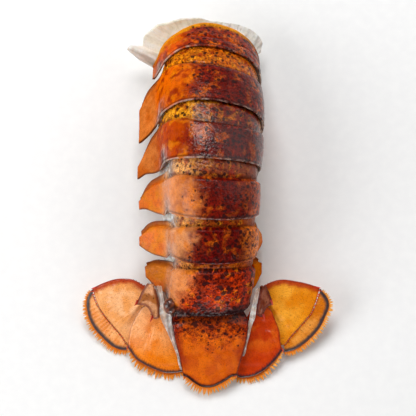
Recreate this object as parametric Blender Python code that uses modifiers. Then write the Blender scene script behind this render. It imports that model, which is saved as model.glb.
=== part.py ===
"""Frozen lobster tail: six overlapping shell segments, the tail fan with its
bristle fringes, the meat inside, the skin at the cut end and the underside.

Lengths are in millimetres up to settle(), which stands the tail on its front
and on its fan and turns them into metres.  X runs across, +Y to the cut end.
"""
import math

import bmesh
import bpy
from mathutils import Euler, Vector

MM = 0.001
OBJECT_NAME = "frozen_lobster_tail"

# The arched axis of the hinges: distance along it at the front rim and at the
# rear edge of each of the six segments, and the section of the tail there.
STATIONS = [0.0, 12.0, 37.5, 60.0, 80.0, 96.7, 118.3]
PITCH = [45.0, 42.0, 34.0, 17.0, -1.0, -8.0, -14.0]
ROLL = [18.0, 18.0, 18.0, 17.0, 15.0, 12.0, 4.0]
AXIS_X = [-0.2, 0.1, 1.0, 1.2, 1.6, 1.8, 0.0]
HALF_WIDTH = [22.2, 22.7, 22.8, 21.0, 19.6, 18.8, 17.4]
DOME_HEIGHT = [18.5, 19.5, 20.0, 19.5, 18.5, 16.5, 12.5]
FLANK_LENGTH = [14.0, 15.0, 16.0, 15.5, 15.0, 13.0, 9.0]
FLARE_LEFT = [0.25, 0.25, 0.26, 0.45, 0.55, 0.78, 1.0]
FLARE_RIGHT = [0.25, 0.25, 0.22, 0.30, 0.40, 0.50, 0.7]

HINGE_U = 0.68
SQUARENESS = 0.05
AXIS_STEP = 0.5
AXIS_START = -12.0
AXIS_END = 132.0
AXIS_ANCHOR = (80.0, -4.9, 0.0)
NORMAL_STEP = 0.004

# How the finished tail stands: turned about X and Y, then moved to the origin.
REST_PITCH = math.radians(15.0)
REST_ROLL = math.radians(-1.7)
REST_SHIFT = Vector((-0.47, -5.22, 29.01))

SHELL_THICKNESS = 1.1
BAND_DEPTH = 1.5
GROOVE_DEPTH = 1.75
FIRST_GROOVE_DEPTH = 0.5
BAND_SHARE = 0.8
BACK_SWELL = 0.5
REAR_LIP = 0.25
SHELL_SINK = 0.1
TUCK_LENGTH = 3.4
SEGMENT_COLUMNS = 26
# Lowest place of a segment's outer face above the table.
FOOT_HEIGHT = 1.25

BLADE_THICKNESS = 1.2
TELSON_THICKNESS = 1.3
PROTOPOD_THICKNESS = 1.5
FRINGE_THICKNESS = 0.5
SKIN_THICKNESS = 0.5
PADDLE_THICKNESS = 0.7
EXOPOD_LAYER = 2.2
PROTOPOD_RISE = 2.2
PROTOPOD_CROWN = 1.2
FAN_SKIN_RISE = 1.75
FAN_SKIN_WAVE = 0.25
JOINT_GAP = 0.35
FRINGE_GAP = 0.45
FRINGE_DROP = 0.4


# Smooth curves through named values

def track(values, s):
    """Value at distance s of a smooth curve through one value per station."""
    last = len(STATIONS) - 1

    def slope(i):
        low = max(i - 1, 0)
        high = min(i + 1, last)
        return (values[high] - values[low]) / (STATIONS[high] - STATIONS[low])

    if s <= STATIONS[0]:
        return values[0] + slope(0) * (s - STATIONS[0])
    if s >= STATIONS[last]:
        return values[last] + slope(last) * (s - STATIONS[last])
    i = max(k for k in range(last) if STATIONS[k] <= s)
    span = STATIONS[i + 1] - STATIONS[i]
    t = (s - STATIONS[i]) / span
    return hermite(values[i], slope(i) * span, values[i + 1], slope(i + 1) * span, t)


def hermite(start, start_slope, end, end_slope, t):
    t2 = t * t
    t3 = t2 * t
    return ((2 * t3 - 3 * t2 + 1) * start + (t3 - 2 * t2 + t) * start_slope
            + (3 * t2 - 2 * t3) * end + (t3 - t2) * end_slope)


def ease(low, high, value):
    """0 below low, 1 above high, smooth in between."""
    t = min(max((value - low) / (high - low), 0.0), 1.0)
    return t * t * (3 - 2 * t)


def along(knots, value):
    """Straight-line interpolation through (position, value) pairs."""
    if value <= knots[0][0]:
        return knots[0][1]
    for (x0, y0), (x1, y1) in zip(knots, knots[1:]):
        if value <= x1:
            return y0 + (y1 - y0) * (value - x0) / (x1 - x0)
    return knots[-1][1]


def curve_point(points, t):
    """Point at share t of the length of a smooth curve through plan points."""
    lengths = [0.0]
    for p, q in zip(points, points[1:]):
        lengths.append(lengths[-1] + math.dist(p, q))
    target = t * lengths[-1]
    i = 0
    while i < len(points) - 2 and lengths[i + 1] < target:
        i += 1
    share = (target - lengths[i]) / (lengths[i + 1] - lengths[i])
    before = points[max(i - 1, 0)]
    after = points[min(i + 2, len(points) - 1)]
    result = []
    for axis in range(2):
        p0, p1, p2, p3 = before[axis], points[i][axis], points[i + 1][axis], after[axis]
        result.append(hermite(p1, 0.5 * (p2 - p0), p2, 0.5 * (p3 - p1), share))
    return result


# The body: an arched, rolled sweep of a dome with hanging flanks

def trace_axis():
    """Points (y, z) of the hinge axis at equal steps, anchored near its middle."""
    count = int(round((AXIS_END - AXIS_START) / AXIS_STEP))
    points = [(0.0, 0.0)]
    for i in range(count):
        pitch = math.radians(track(PITCH, AXIS_START + (i + 0.5) * AXIS_STEP))
        y, z = points[-1]
        points.append((y - math.cos(pitch) * AXIS_STEP, z + math.sin(pitch) * AXIS_STEP))
    s_anchor, y_anchor, z_anchor = AXIS_ANCHOR
    y_at, z_at = points[int(round((s_anchor - AXIS_START) / AXIS_STEP))]
    return [(y - y_at + y_anchor, z - z_at + z_anchor) for y, z in points]


AXIS_POINTS = trace_axis()


def axis_at(s):
    f = (s - AXIS_START) / AXIS_STEP
    i = min(max(int(f), 0), len(AXIS_POINTS) - 2)
    t = f - i
    (y0, z0), (y1, z1) = AXIS_POINTS[i], AXIS_POINTS[i + 1]
    return y0 + (y1 - y0) * t, z0 + (z1 - z0) * t


def section(s, u):
    """Point of the cross-section: u is 0 on the back, -1 and 1 at the flank tips."""
    side = -1.0 if u < 0 else 1.0
    m = abs(u)
    half_width = track(HALF_WIDTH, s)
    if m <= HINGE_U:
        angle = m / HINGE_U * math.pi / 2
        swell = 1 + SQUARENESS * math.sin(2 * angle) ** 2
        return (side * half_width * swell * math.sin(angle),
                track(DOME_HEIGHT, s) * swell * math.cos(angle))
    t = (m - HINGE_U) / (1 - HINGE_U)
    length = track(FLANK_LENGTH, s)
    flare = track(FLARE_LEFT if u < 0 else FLARE_RIGHT, s)
    return side * (half_width + length * flare * t * t * (1.6 - 0.6 * t)), -length * t


def place_section(s, across, up):
    """Point of the tail from a place in the cross-section plane at distance s."""
    roll = math.radians(track(ROLL, s))
    pitch = math.radians(track(PITCH, s))
    side = across * math.cos(roll) + up * math.sin(roll)
    rise = up * math.cos(roll) - across * math.sin(roll)
    y, z = axis_at(s)
    return Vector((track(AXIS_X, s) + side, y + rise * math.sin(pitch), z + rise * math.cos(pitch)))


def skin(s, u, lift=0.0):
    """Point of the body's surface, lifted off it along the section's normal."""
    across, up = section(s, u)
    a0, b0 = section(s, u - NORMAL_STEP)
    a1, b1 = section(s, u + NORMAL_STEP)
    length = math.hypot(a1 - a0, b1 - b0)
    across -= (b1 - b0) / length * lift
    up += (a1 - a0) / length * lift
    return place_section(s, across, up)


def settle(point):
    """From the laid-out tail to the resting tail, in metres."""
    turned = Vector(point)
    turned.rotate(Euler((REST_PITCH, REST_ROLL, 0.0)))
    return (turned + REST_SHIFT) * MM


# Meshes

def new_object(name, bm, material, thickness=0.0):
    mesh = bpy.data.meshes.new(name)
    bm.to_mesh(mesh)
    bm.free()
    mesh.shade_smooth()
    mesh.materials.append(material)
    obj = bpy.data.objects.new(name, mesh)
    bpy.data.collections[OBJECT_NAME].objects.link(obj)
    if thickness:
        solid = obj.modifiers.new("wall", "SOLIDIFY")
        solid.thickness = thickness * MM
        solid.offset = -1.0
        solid.use_even_offset = False
    return obj


def sheet(name, columns, rows, point_at, material, thickness):
    """Thin solid whose outer face is a grid bent by point_at(u, v), both 0 to 1."""
    bm = bmesh.new()
    bmesh.ops.create_grid(bm, x_segments=columns, y_segments=rows, size=1.0)
    for vert in bm.verts:
        vert.co = settle(point_at((vert.co.x + 1) / 2, (vert.co.y + 1) / 2))
    bmesh.ops.triangulate(bm, faces=bm.faces[:])
    return new_object(name, bm, material, thickness)


def tube(name, around, rows, point_at, material):
    """Closed solid lofted round a path: point_at(turn, v), turn going once round."""
    bm = bmesh.new()
    bmesh.ops.create_grid(bm, x_segments=around, y_segments=rows, size=1.0)
    for vert in bm.verts:
        turn = (vert.co.x + 1) / 2
        vert.co = settle(point_at(turn % 1.0, (vert.co.y + 1) / 2))
    bmesh.ops.remove_doubles(bm, verts=bm.verts[:], dist=1e-6)
    bmesh.ops.holes_fill(bm, edges=bm.edges[:], sides=0)
    bmesh.ops.triangulate(bm, faces=bm.faces[:])
    bmesh.ops.recalc_face_normals(bm, faces=bm.faces[:])
    return new_object(name, bm, material)


def make_material(name, colour, roughness):
    material = bpy.data.materials.new(name)
    material.use_nodes = True
    shader = material.node_tree.nodes["Principled BSDF"]
    shader.inputs["Base Color"].default_value = (*colour, 1.0)
    shader.inputs["Roughness"].default_value = roughness
    shader.inputs["Metallic"].default_value = 0.0
    material.diffuse_color = (*colour, 1.0)
    return material


# Segments

# For each segment, (u, distance) pairs from the back to the flank tip: the
# front margin from the station in front, the rear margin from its own station.
SEGMENTS = [
    {"front": [(0.0, -4.6), (0.15, -4.2), (0.3, -2.4), (0.45, -0.2), (0.6, 1.8), (0.68, 3.0), (0.80, 4.6)],
     "rear": [(0.0, -1.6), (0.3, -0.9), (0.5, 0.9), (0.68, 1.7), (0.80, 1.2)],
     "groove": [(0.0, 5.2), (0.3, 5.4), (0.5, 5.8), (0.68, 6.4), (0.80, 7.0)],
     "tip": 0.80},
    {"front": [(0.0, 0.0), (0.5, 0.0), (0.68, 2.6), (0.85, 2.0), (0.95, 3.6), (1.0, 8.2)],
     "rear": [(0.0, 0.8), (0.3, 0.8), (0.5, 1.0), (0.6, 0.5), (0.68, 0.1), (0.76, 1.6), (0.88, 3.6), (1.0, 4.6)],
     "groove": [(0.0, 7.4), (0.2, 7.2), (0.5, 4.4), (0.68, 4.6), (0.85, 4.6), (0.95, 6.4), (1.0, 9.8)],
     "tip": 1.0},
    {"front": [(0.0, 0.0), (0.5, 0.0), (0.68, 0.6), (0.80, 2.9), (0.88, 4.4), (0.95, 9.0), (1.0, 15.4)],
     "rear": [(0.0, 0.0), (0.3, -0.4), (0.6, -1.8), (0.68, -2.0), (0.74, -0.2), (0.82, 0.2), (0.93, -0.8),
              (1.0, 1.0)],
     "groove": [(0.0, 8.8), (0.2, 8.4), (0.5, 5.0), (0.68, 3.4), (0.80, 5.2), (0.88, 7.2), (0.95, 11.8),
                (1.0, 16.8)],
     "tip": 1.0},
    {"front": [(0.0, 0.0), (0.5, 0.0), (0.68, 1.0), (0.80, 1.2), (0.90, 2.4), (0.95, 5.2), (1.0, 10.2)],
     "rear": [(0.0, 0.0), (0.3, -0.6), (0.6, -2.6), (0.68, -4.2), (0.72, -1.4), (0.84, -2.6), (0.95, -4.8),
              (1.0, -4.4)],
     "groove": [(0.0, 5.5), (0.2, 5.3), (0.5, 3.8), (0.68, 3.6), (0.80, 4.0), (0.90, 5.2), (0.95, 7.4),
                (1.0, 11.6)],
     "tip": 1.0},
    {"front": [(0.0, 0.0), (0.5, 0.0), (0.68, 1.2), (0.80, 0.4), (0.90, 0.8), (0.96, 2.6), (1.0, 6.0)],
     "rear": [(0.0, 0.0), (0.3, -0.5), (0.6, -2.4), (0.68, -2.6), (0.74, -0.4), (0.88, -1.2), (0.96, -3.0),
              (1.0, -5.0)],
     "groove": [(0.0, 2.2), (0.2, 2.2), (0.5, 2.4), (0.68, 3.0), (0.80, 2.8), (0.90, 3.2), (0.96, 5.2),
                (1.0, 8.0)],
     "tip": 1.0},
    {"front": [(0.0, 0.0), (0.5, 0.0), (0.68, 1.6), (0.80, 1.0), (0.90, 1.2), (0.96, 3.0)],
     "rear": [(0.0, 0.0), (0.3, -0.3), (0.55, -1.4), (0.68, -4.0), (0.76, -6.4), (0.86, -8.0), (0.92, -10.0),
              (0.96, -12.8)],
     "groove": [(0.0, 2.0), (0.2, 2.0), (0.5, 2.4), (0.68, 3.0), (0.80, 2.4), (0.90, 2.6), (0.96, 4.0)],
     "tip": 0.96},
]
# Shares of a segment behind its groove at which rows of the grid lie.
REAR_ROWS = [0.12, 0.40, 0.70, 0.93, 1.0]


def segment_margins(index, u):
    """Distances along the axis of the front margin, the groove and the rear margin."""
    spec = SEGMENTS[index]
    m = abs(u)
    station = STATIONS[index]
    tuck = 0.0
    if index:
        tuck = TUCK_LENGTH * (1 - ease(0.5, 0.68, m))
    front = station + along(spec["front"], m) - tuck
    groove = station + along(spec["groove"], m)
    rear = STATIONS[index + 1] + along(spec["rear"], m)
    return front, groove, rear


def segment_point(index, u, row):
    """Surface point on grid row 0 (front margin) to 7 (rear margin)."""
    front, groove, rear = segment_margins(index, u)
    band = 0.0 if index == 0 else BAND_DEPTH
    dip = FIRST_GROOVE_DEPTH if index == 0 else GROOVE_DEPTH
    if row == 0:
        return skin(front, u, -band)
    if row == 1:
        return skin(front + (groove - front) * BAND_SHARE, u, -band)
    if row == 2:
        return skin(groove, u, -dip)
    share = REAR_ROWS[row - 3]
    swell = BACK_SWELL * math.sin(math.pi * share) * (1 - ease(0.5, 0.75, abs(u)))
    lip = REAR_LIP if share == 1.0 else 0.0
    return skin(groove + (rear - groove) * share, u, swell + lip - SHELL_SINK)


def build_segment(index, material):
    tip = SEGMENTS[index]["tip"]
    rows = 2 + len(REAR_ROWS)

    def point_at(across, v):
        return segment_point(index, (1 - 2 * across) * tip, int(round(v * rows)))

    obj = sheet(f"segment_{index + 1}", SEGMENT_COLUMNS, rows, point_at, material, SHELL_THICKNESS)
    for vert in obj.data.vertices:
        vert.co.z = max(vert.co.z, FOOT_HEIGHT * MM)


# Tail fan: blades as patches between four edge curves in plan

def patch(inner, outer, base, end, u, v):
    """Coons patch: base runs inner to outer at v = 0, end does so at v = 1."""
    a, b = curve_point(inner, v), curve_point(outer, v)
    c, d = curve_point(base, u), curve_point(end, u)
    corner = (inner[0], outer[0], inner[-1], outer[-1])
    weight = ((1 - u) * (1 - v), u * (1 - v), (1 - u) * v, u * v)
    result = []
    for axis in range(2):
        blend = (1 - u) * a[axis] + u * b[axis] + (1 - v) * c[axis] + v * d[axis]
        result.append(blend - sum(w * p[axis] for w, p in zip(weight, corner)))
    return result


def blade_height(x, y):
    """Height of the side blades' upper face, falling to the rear and outward."""
    reach = max(abs(x) - 15.0, 0.0)
    return -4.0 + 0.23 * (y + 46.0) - 0.0035 * reach * reach


def telson_height(x, y):
    """Height of the telson: domed where it meets the sixth segment, then flatter."""
    dome = 0.0080 + 0.013 * ease(-54.0, -43.0, y)
    hinge_dip = 1.9 * ease(-49.5, -45.0, y)
    return 4.6 + 0.36 * (y + 45.0) - dome * x * x - hinge_dip


def fan_blade(name, edges, layer, material, columns, rows, thickness=BLADE_THICKNESS, bulge=0.8):
    """Blade from its four edge curves; layer is how far it lies below the top blade."""
    inner, outer, base, end = edges

    def point_at(u, v):
        x, y = patch(inner, outer, base, end, u, v)
        crown = bulge * math.sin(math.pi * u) * math.sin(math.pi * min(v, 0.9) / 0.9 * 0.5)
        return Vector((x, y, blade_height(x, y) - layer + crown))

    obj = sheet(name, columns, rows, point_at, material, thickness)
    face_up(obj)
    return obj


def face_up(obj):
    """Turns the open sheet so that its outer face looks up."""
    normal = sum((p.normal * p.area for p in obj.data.polygons), Vector())
    if normal.z < 0:
        obj.data.flip_normals()


# Edge curves of the left and right blades and of the telson, in plan.  Inner and
# outer edges run from the body to the tip, ends from the inner to the outer edge.
LEFT_EXOPOD = (
    [(-23.9, -39.7), (-26.0, -45.6), (-28.6, -51.4), (-31.5, -56.1)],
    [(-25.2, -34.2), (-27.3, -32.8), (-31.5, -30.4), (-35.3, -29.9), (-39.5, -30.2), (-44.1, -31.7),
     (-49.1, -34.0)],
    [(-23.9, -39.7), (-25.2, -34.2)],
    [(-31.5, -56.1), (-34.2, -58.0), (-37.0, -54.0), (-40.5, -49.8), (-43.3, -46.4), (-47.0, -40.9),
     (-49.1, -34.0)],
)
RIGHT_EXOPOD = (
    [(21.8, -39.7), (23.5, -45.6), (25.6, -51.4), (28.6, -56.1)],
    [(22.7, -34.2), (24.1, -32.7), (27.9, -30.9), (31.7, -30.3), (36.5, -30.9), (41.8, -32.0),
     (47.5, -33.8)],
    [(21.8, -39.7), (22.7, -34.2)],
    [(28.6, -56.1), (32.2, -58.4), (35.7, -54.0), (39.5, -49.8), (44.4, -43.5), (47.5, -33.8)],
)
LEFT_SUTURE = [(-49.2, -34.6), (-47.0, -40.9), (-43.3, -46.4), (-40.5, -49.8), (-37.0, -54.0),
               (-34.3, -58.2)]
LEFT_RIM = [(-49.9, -35.4), (-51.4, -38.4), (-51.7, -42.1), (-50.6, -47.1), (-48.3, -51.4),
            (-44.9, -55.2), (-41.2, -58.6), (-37.6, -60.3), (-34.4, -60.6)]
RIGHT_SUTURE = [(47.6, -34.4), (44.4, -43.5), (39.5, -49.8), (35.7, -54.0), (32.3, -58.6)]
RIGHT_RIM = [(48.4, -35.2), (50.8, -38.4), (51.5, -41.8), (50.0, -46.0), (47.5, -51.0),
             (43.7, -55.4), (38.1, -59.8), (32.6, -61.6)]
LEFT_ENDOPOD = (
    [(-17.4, -43.2), (-13.4, -49.4), (-11.0, -55.6), (-9.6, -61.9), (-9.2, -68.7)],
    [(-24.4, -40.1), (-28.1, -42.2), (-30.8, -46.4), (-32.6, -50.2), (-33.5, -54.0), (-34.2, -59.4)],
    [(-17.4, -43.2), (-24.4, -40.1)],
    [(-9.2, -68.7), (-11.8, -69.9), (-17.2, -70.3), (-21.0, -69.3), (-24.9, -67.7), (-27.9, -66.1),
     (-30.8, -64.0), (-34.2, -59.4)],
)
RIGHT_ENDOPOD = (
    [(18.4, -42.9), (14.6, -49.4), (12.0, -55.6), (10.6, -61.9), (10.5, -69.9)],
    [(22.7, -40.1), (26.5, -43.0), (28.6, -47.7), (30.2, -51.9), (30.9, -57.8), (31.7, -60.7)],
    [(18.4, -42.9), (22.7, -40.1)],
    [(10.5, -69.9), (12.6, -72.0), (15.5, -72.3), (19.3, -71.6), (23.1, -69.7), (27.9, -65.6),
     (31.7, -60.7)],
)
TELSON = (
    [(-14.2, -42.6), (-15.4, -47.0), (-15.0, -50.0), (-14.1, -55.2), (-12.9, -59.8), (-11.8, -64.9), (-10.5, -71.2)],
    [(14.6, -42.6), (16.8, -47.0), (17.0, -50.0), (16.4, -55.6), (15.1, -60.7), (13.8, -65.3), (12.2, -71.2)],
    [(-14.2, -42.6), (14.6, -42.6)],
    [(-10.5, -71.2), (-8.7, -72.0), (-6.3, -73.9), (-3.4, -75.6), (-0.4, -76.2), (2.5, -75.8),
     (5.5, -74.4), (8.4, -72.7), (10.1, -71.6), (12.2, -71.2)],
)
LEFT_PROTOPOD = (
    [(-22.0, -34.4), (-20.6, -40.5), (-20.6, -46.4)],
    [(-25.6, -31.7), (-28.1, -35.5), (-30.5, -40.9)],
    [(-22.0, -34.4), (-23.8, -32.8), (-25.6, -31.7)],
    [(-20.6, -46.4), (-22.9, -46.9), (-24.6, -43.6), (-26.6, -41.4), (-30.5, -40.9)],
)
RIGHT_PROTOPOD = (
    [(21.9, -34.6), (20.9, -40.5), (20.5, -45.4)],
    [(24.6, -32.7), (26.2, -36.5), (27.6, -40.8)],
    [(21.9, -34.6), (23.2, -33.4), (24.6, -32.7)],
    [(20.5, -45.4), (22.9, -46.2), (24.0, -43.8), (25.2, -41.8), (27.6, -40.8)],
)
LEFT_FAN_SKIN = (
    [(-19.6, -33.0), (-18.8, -39.6), (-17.4, -43.6), (-15.6, -48.0), (-14.0, -54.8), (-12.2, -61.5),
     (-10.7, -68.7)],
    [(-21.4, -33.0), (-20.1, -39.6), (-20.0, -43.6), (-18.7, -48.0), (-16.2, -54.8), (-13.6, -61.5),
     (-11.4, -68.7)],
)
RIGHT_FAN_SKIN = (
    [(20.2, -34.0), (19.2, -40.4), (18.6, -43.4), (17.8, -47.0), (16.8, -51.4), (15.5, -57.8),
     (14.4, -62.8)],
    [(21.8, -34.0), (20.4, -40.4), (20.0, -43.4), (19.3, -47.0), (18.1, -51.4), (16.5, -57.8),
     (15.0, -62.8)],
)


def build_telson(material):
    inner, outer, base, end = TELSON

    def point_at(u, v):
        x, y = patch(inner, outer, base, end, u, v)
        return Vector((x, y, telson_height(x, y)))

    face_up(sheet("telson", 12, 10, point_at, material, TELSON_THICKNESS))


def build_flap(name, suture, rim, layer, material):
    """Outer part of an outer blade, beyond its cross joint."""

    def point_at(u, v):
        sx, sy = curve_point(suture, u)
        rx, ry = curve_point(rim, u)
        width = math.hypot(rx - sx, ry - sy)
        start = min(JOINT_GAP / width, 0.5)
        share = start + (1 - start) * v
        x, y = sx + (rx - sx) * share, sy + (ry - sy) * share
        return Vector((x, y, blade_height(x, y) - layer))

    face_up(sheet(name, 14, 3, point_at, material, BLADE_THICKNESS))


def build_fringe(name, rim, outward, teeth, reach, height_at, material):
    """Comb of pointed bristle clumps standing out from a rim."""
    columns = 2 * teeth

    def point_at(u, v):
        x, y = curve_point(rim, u)
        x0, y0 = curve_point(rim, max(u - 0.02, 0.0))
        x1, y1 = curve_point(rim, min(u + 0.02, 1.0))
        length = math.hypot(x1 - x0, y1 - y0)
        nx, ny = outward * (y1 - y0) / length, -outward * (x1 - x0) / length
        pointed = int(round(u * columns)) % 2
        swell = 0.75 + 0.25 * math.sin(7.0 * u + 1.3 * teeth)
        far = along(reach, u) * swell * (1.0 if pointed else 0.5)
        out = FRINGE_GAP + max(far, 0.4) * v
        rise = math.tan(REST_PITCH) * max(-ny * out, 0.0) if v else 0.0
        return Vector((x + nx * out, y + ny * out, height_at(x, y) - FRINGE_DROP + rise))

    face_up(sheet(name, columns, 1, point_at, material, FRINGE_THICKNESS))


def build_protopod(name, edges, material):
    inner, outer, base, end = edges

    def point_at(u, v):
        x, y = patch(inner, outer, base, end, u, v)
        crown = PROTOPOD_CROWN * math.sin(math.pi * min(max(u, 0.0), 1.0)) * (1 - 0.7 * v)
        return Vector((x, y, blade_height(x, y) + PROTOPOD_RISE + crown))

    face_up(sheet(name, 6, 6, point_at, material, PROTOPOD_THICKNESS))


def build_fan_skin(name, edges, material):
    """Wrinkled joint skin between the telson and an inner blade."""
    inner, outer = edges

    def point_at(u, v):
        a, b = curve_point(inner, v), curve_point(outer, v)
        x, y = a[0] + (b[0] - a[0]) * u, a[1] + (b[1] - a[1]) * u
        wave = FAN_SKIN_WAVE * math.sin(9.0 * v + 2.0 * u) * (1 - v)
        return Vector((x, y, blade_height(x, y) + FAN_SKIN_RISE + wave))

    face_up(sheet(name, 2, 10, point_at, material, SKIN_THICKNESS))


# Meat, skins and underside

# The meat's section as a share of the shell's, and the height it tapers towards.
MEAT_SCALE = 1 - 5.1 / 20.5
MEAT_CENTRE = 4.0
MEAT_U = 0.74
MEAT_FRONT = -1.5
MEAT_REAR = 108.0
MEAT_ROWS = 16
MEAT_TOP_SHARE = 0.62
BELLY_SAG = 2.2
FRONT_SAG = 9.0


def meat_outline(s, turn):
    """Point of the meat's closed section, once round from the left edge."""
    if turn <= MEAT_TOP_SHARE:
        u = MEAT_U * (2 * turn / MEAT_TOP_SHARE - 1)
        across, up = section(s, u)
        return across * MEAT_SCALE, up * MEAT_SCALE
    return belly(s, 1 - (turn - MEAT_TOP_SHARE) / (1 - MEAT_TOP_SHARE))


def belly(s, share):
    """Underside of the meat, from its left edge to its right; it sags near the cut."""
    left, low = section(s, -MEAT_U)
    right, low_right = section(s, MEAT_U)
    sag = (BELLY_SAG + FRONT_SAG * (1 - ease(12.0, 50.0, s))) * math.sin(math.pi * share) ** 0.7
    across = (left + (right - left) * share) * MEAT_SCALE
    return across, (low + (low_right - low) * share) * MEAT_SCALE - sag


def meat_row(row):
    """Distance along the axis of a row of the meat, and its size: smaller at the ends."""
    if row == 0:
        return MEAT_FRONT - 1.6, 0.72
    if row == 1:
        return MEAT_FRONT, 0.93
    s = 1.0 + (MEAT_REAR - 1.0) * (row - 2) / (MEAT_ROWS - 2)
    return s, 0.8 if row == MEAT_ROWS else 1.0


def build_meat(material):

    def point_at(turn, v):
        s, full = meat_row(int(round(v * MEAT_ROWS)))
        across, up = meat_outline(s, turn)
        return place_section(s, across * full, MEAT_CENTRE + (up - MEAT_CENTRE) * full)

    obj = tube("meat", 24, MEAT_ROWS, point_at, material)
    for vert in obj.data.vertices:
        vert.co.z = max(vert.co.z, 0.0)


# The skin pulled out of the cut end: (u, reach past the rim, outward lean).
CUT_SKIN = [
    (-0.84, 1.5, 9.0), (-0.80, 2.2, 16.6), (-0.75, 3.4, 15.4), (-0.70, 3.6, 9.6), (-0.62, 3.6, 10.8),
    (-0.50, 1.7, 10.2), (-0.38, 1.5, 7.0), (-0.24, 1.5, 3.6), (-0.08, 2.0, 1.6), (0.08, 2.8, 1.6),
    (0.22, 5.0, 3.2), (0.34, 6.4, 4.2), (0.44, 6.6, 5.0), (0.50, 5.0, 3.4),
]
CUT_SKIN_TUCK = 2.6
CUT_SKIN_STANDOFF = 0.7
CUT_SKIN_DEPTH = 2.4
CUT_SKIN_WAVE = 0.35


def build_cut_skin(material):
    first, last = CUT_SKIN[0][0], CUT_SKIN[-1][0]
    reach = [(u, r) for u, r, _ in CUT_SKIN]
    lean = [(u, w) for u, _, w in CUT_SKIN]

    def point_at(across, v):
        u = last + (first - last) * across
        rim = segment_margins(0, u)[0]
        free = along(reach, u)
        length = CUT_SKIN_TUCK + free
        out = max(length * v - CUT_SKIN_TUCK - CUT_SKIN_STANDOFF, 0.0) / (free - CUT_SKIN_STANDOFF)
        wave = CUT_SKIN_WAVE * math.sin(23.0 * u) * out
        lift = along(lean, u) * out ** 1.5 + wave - CUT_SKIN_DEPTH
        return skin(rim + CUT_SKIN_TUCK - length * v, u, lift)

    sheet("cut_end_skin", 24, 6, point_at, material, SKIN_THICKNESS)


# Joint skins: their inner edge and width in u, their front and length along the
# axis from the station, and how deep they lie.
HINGE_SKIN_U = 0.51
HINGE_SKIN_WIDTH = 0.31
HINGE_SKIN_FRONT = -5.5
HINGE_SKIN_LENGTH = 7.0
HINGE_SKIN_DEPTH = 3.6


def build_hinge_skin(name, index, side, material):
    """Joint skin bridging the gap between two segments at a hinge."""
    station = STATIONS[index + 1]

    def point_at(across, v):
        u = HINGE_SKIN_U + HINGE_SKIN_WIDTH * across
        s = station + HINGE_SKIN_FRONT + HINGE_SKIN_LENGTH * v
        return skin(s, side * u, -HINGE_SKIN_DEPTH)

    obj = sheet(name, 3, 2, point_at, material, SKIN_THICKNESS)
    if side < 0:
        obj.data.flip_normals()


# Underside bars: how far ahead of the station, their half length and half height,
# and how far below the meat; then the paddles that hang from them.
BAR_AHEAD = 3.0
BAR_HALF_LENGTH = 1.5
BAR_HALF_HEIGHT = 0.8
BAR_DROP = 1.6
PADDLE_ROOT = 0.36
PADDLE_DROP = 2.9
PADDLE_LENGTH = 9.5
PADDLE_SLOPE = 3.4
PADDLE_CUP = 0.6


def build_underside_bar(index, material):
    """Bar across the underside, from flank to flank."""
    s = STATIONS[index + 1] - BAR_AHEAD

    def point_at(turn, v):
        angle = 2 * math.pi * turn
        across, up = belly(s, v)
        ahead = BAR_HALF_LENGTH * math.cos(angle)
        return place_section(s + ahead, across, up - BAR_DROP + BAR_HALF_HEIGHT * math.sin(angle))

    tube(f"underside_bar_{index + 1}", 8, 8, point_at, material)


def build_swimmeret(name, index, side, material):
    """Small paddle hanging below an underside bar and pointing to the rear."""
    s = STATIONS[index + 1] - BAR_AHEAD
    root, low = belly(s, 0.5 + side * PADDLE_ROOT)

    def point_at(u, v):
        width = 1.0 + 2.0 * math.sin(math.pi * (0.12 + 0.8 * v))
        across = root + (u - 0.5) * 2 * width - side * 1.5 * v
        cup = PADDLE_CUP * (2 * u - 1) ** 2
        return place_section(s + PADDLE_LENGTH * v, across, low - PADDLE_DROP - PADDLE_SLOPE * v - cup)

    face_up(sheet(name, 3, 3, point_at, material, PADDLE_THICKNESS))


def clear_scene():
    for obj in list(bpy.data.objects):
        bpy.data.objects.remove(obj, do_unlink=True)
    collection = bpy.data.collections.new(OBJECT_NAME)
    bpy.context.scene.collection.children.link(collection)


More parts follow.
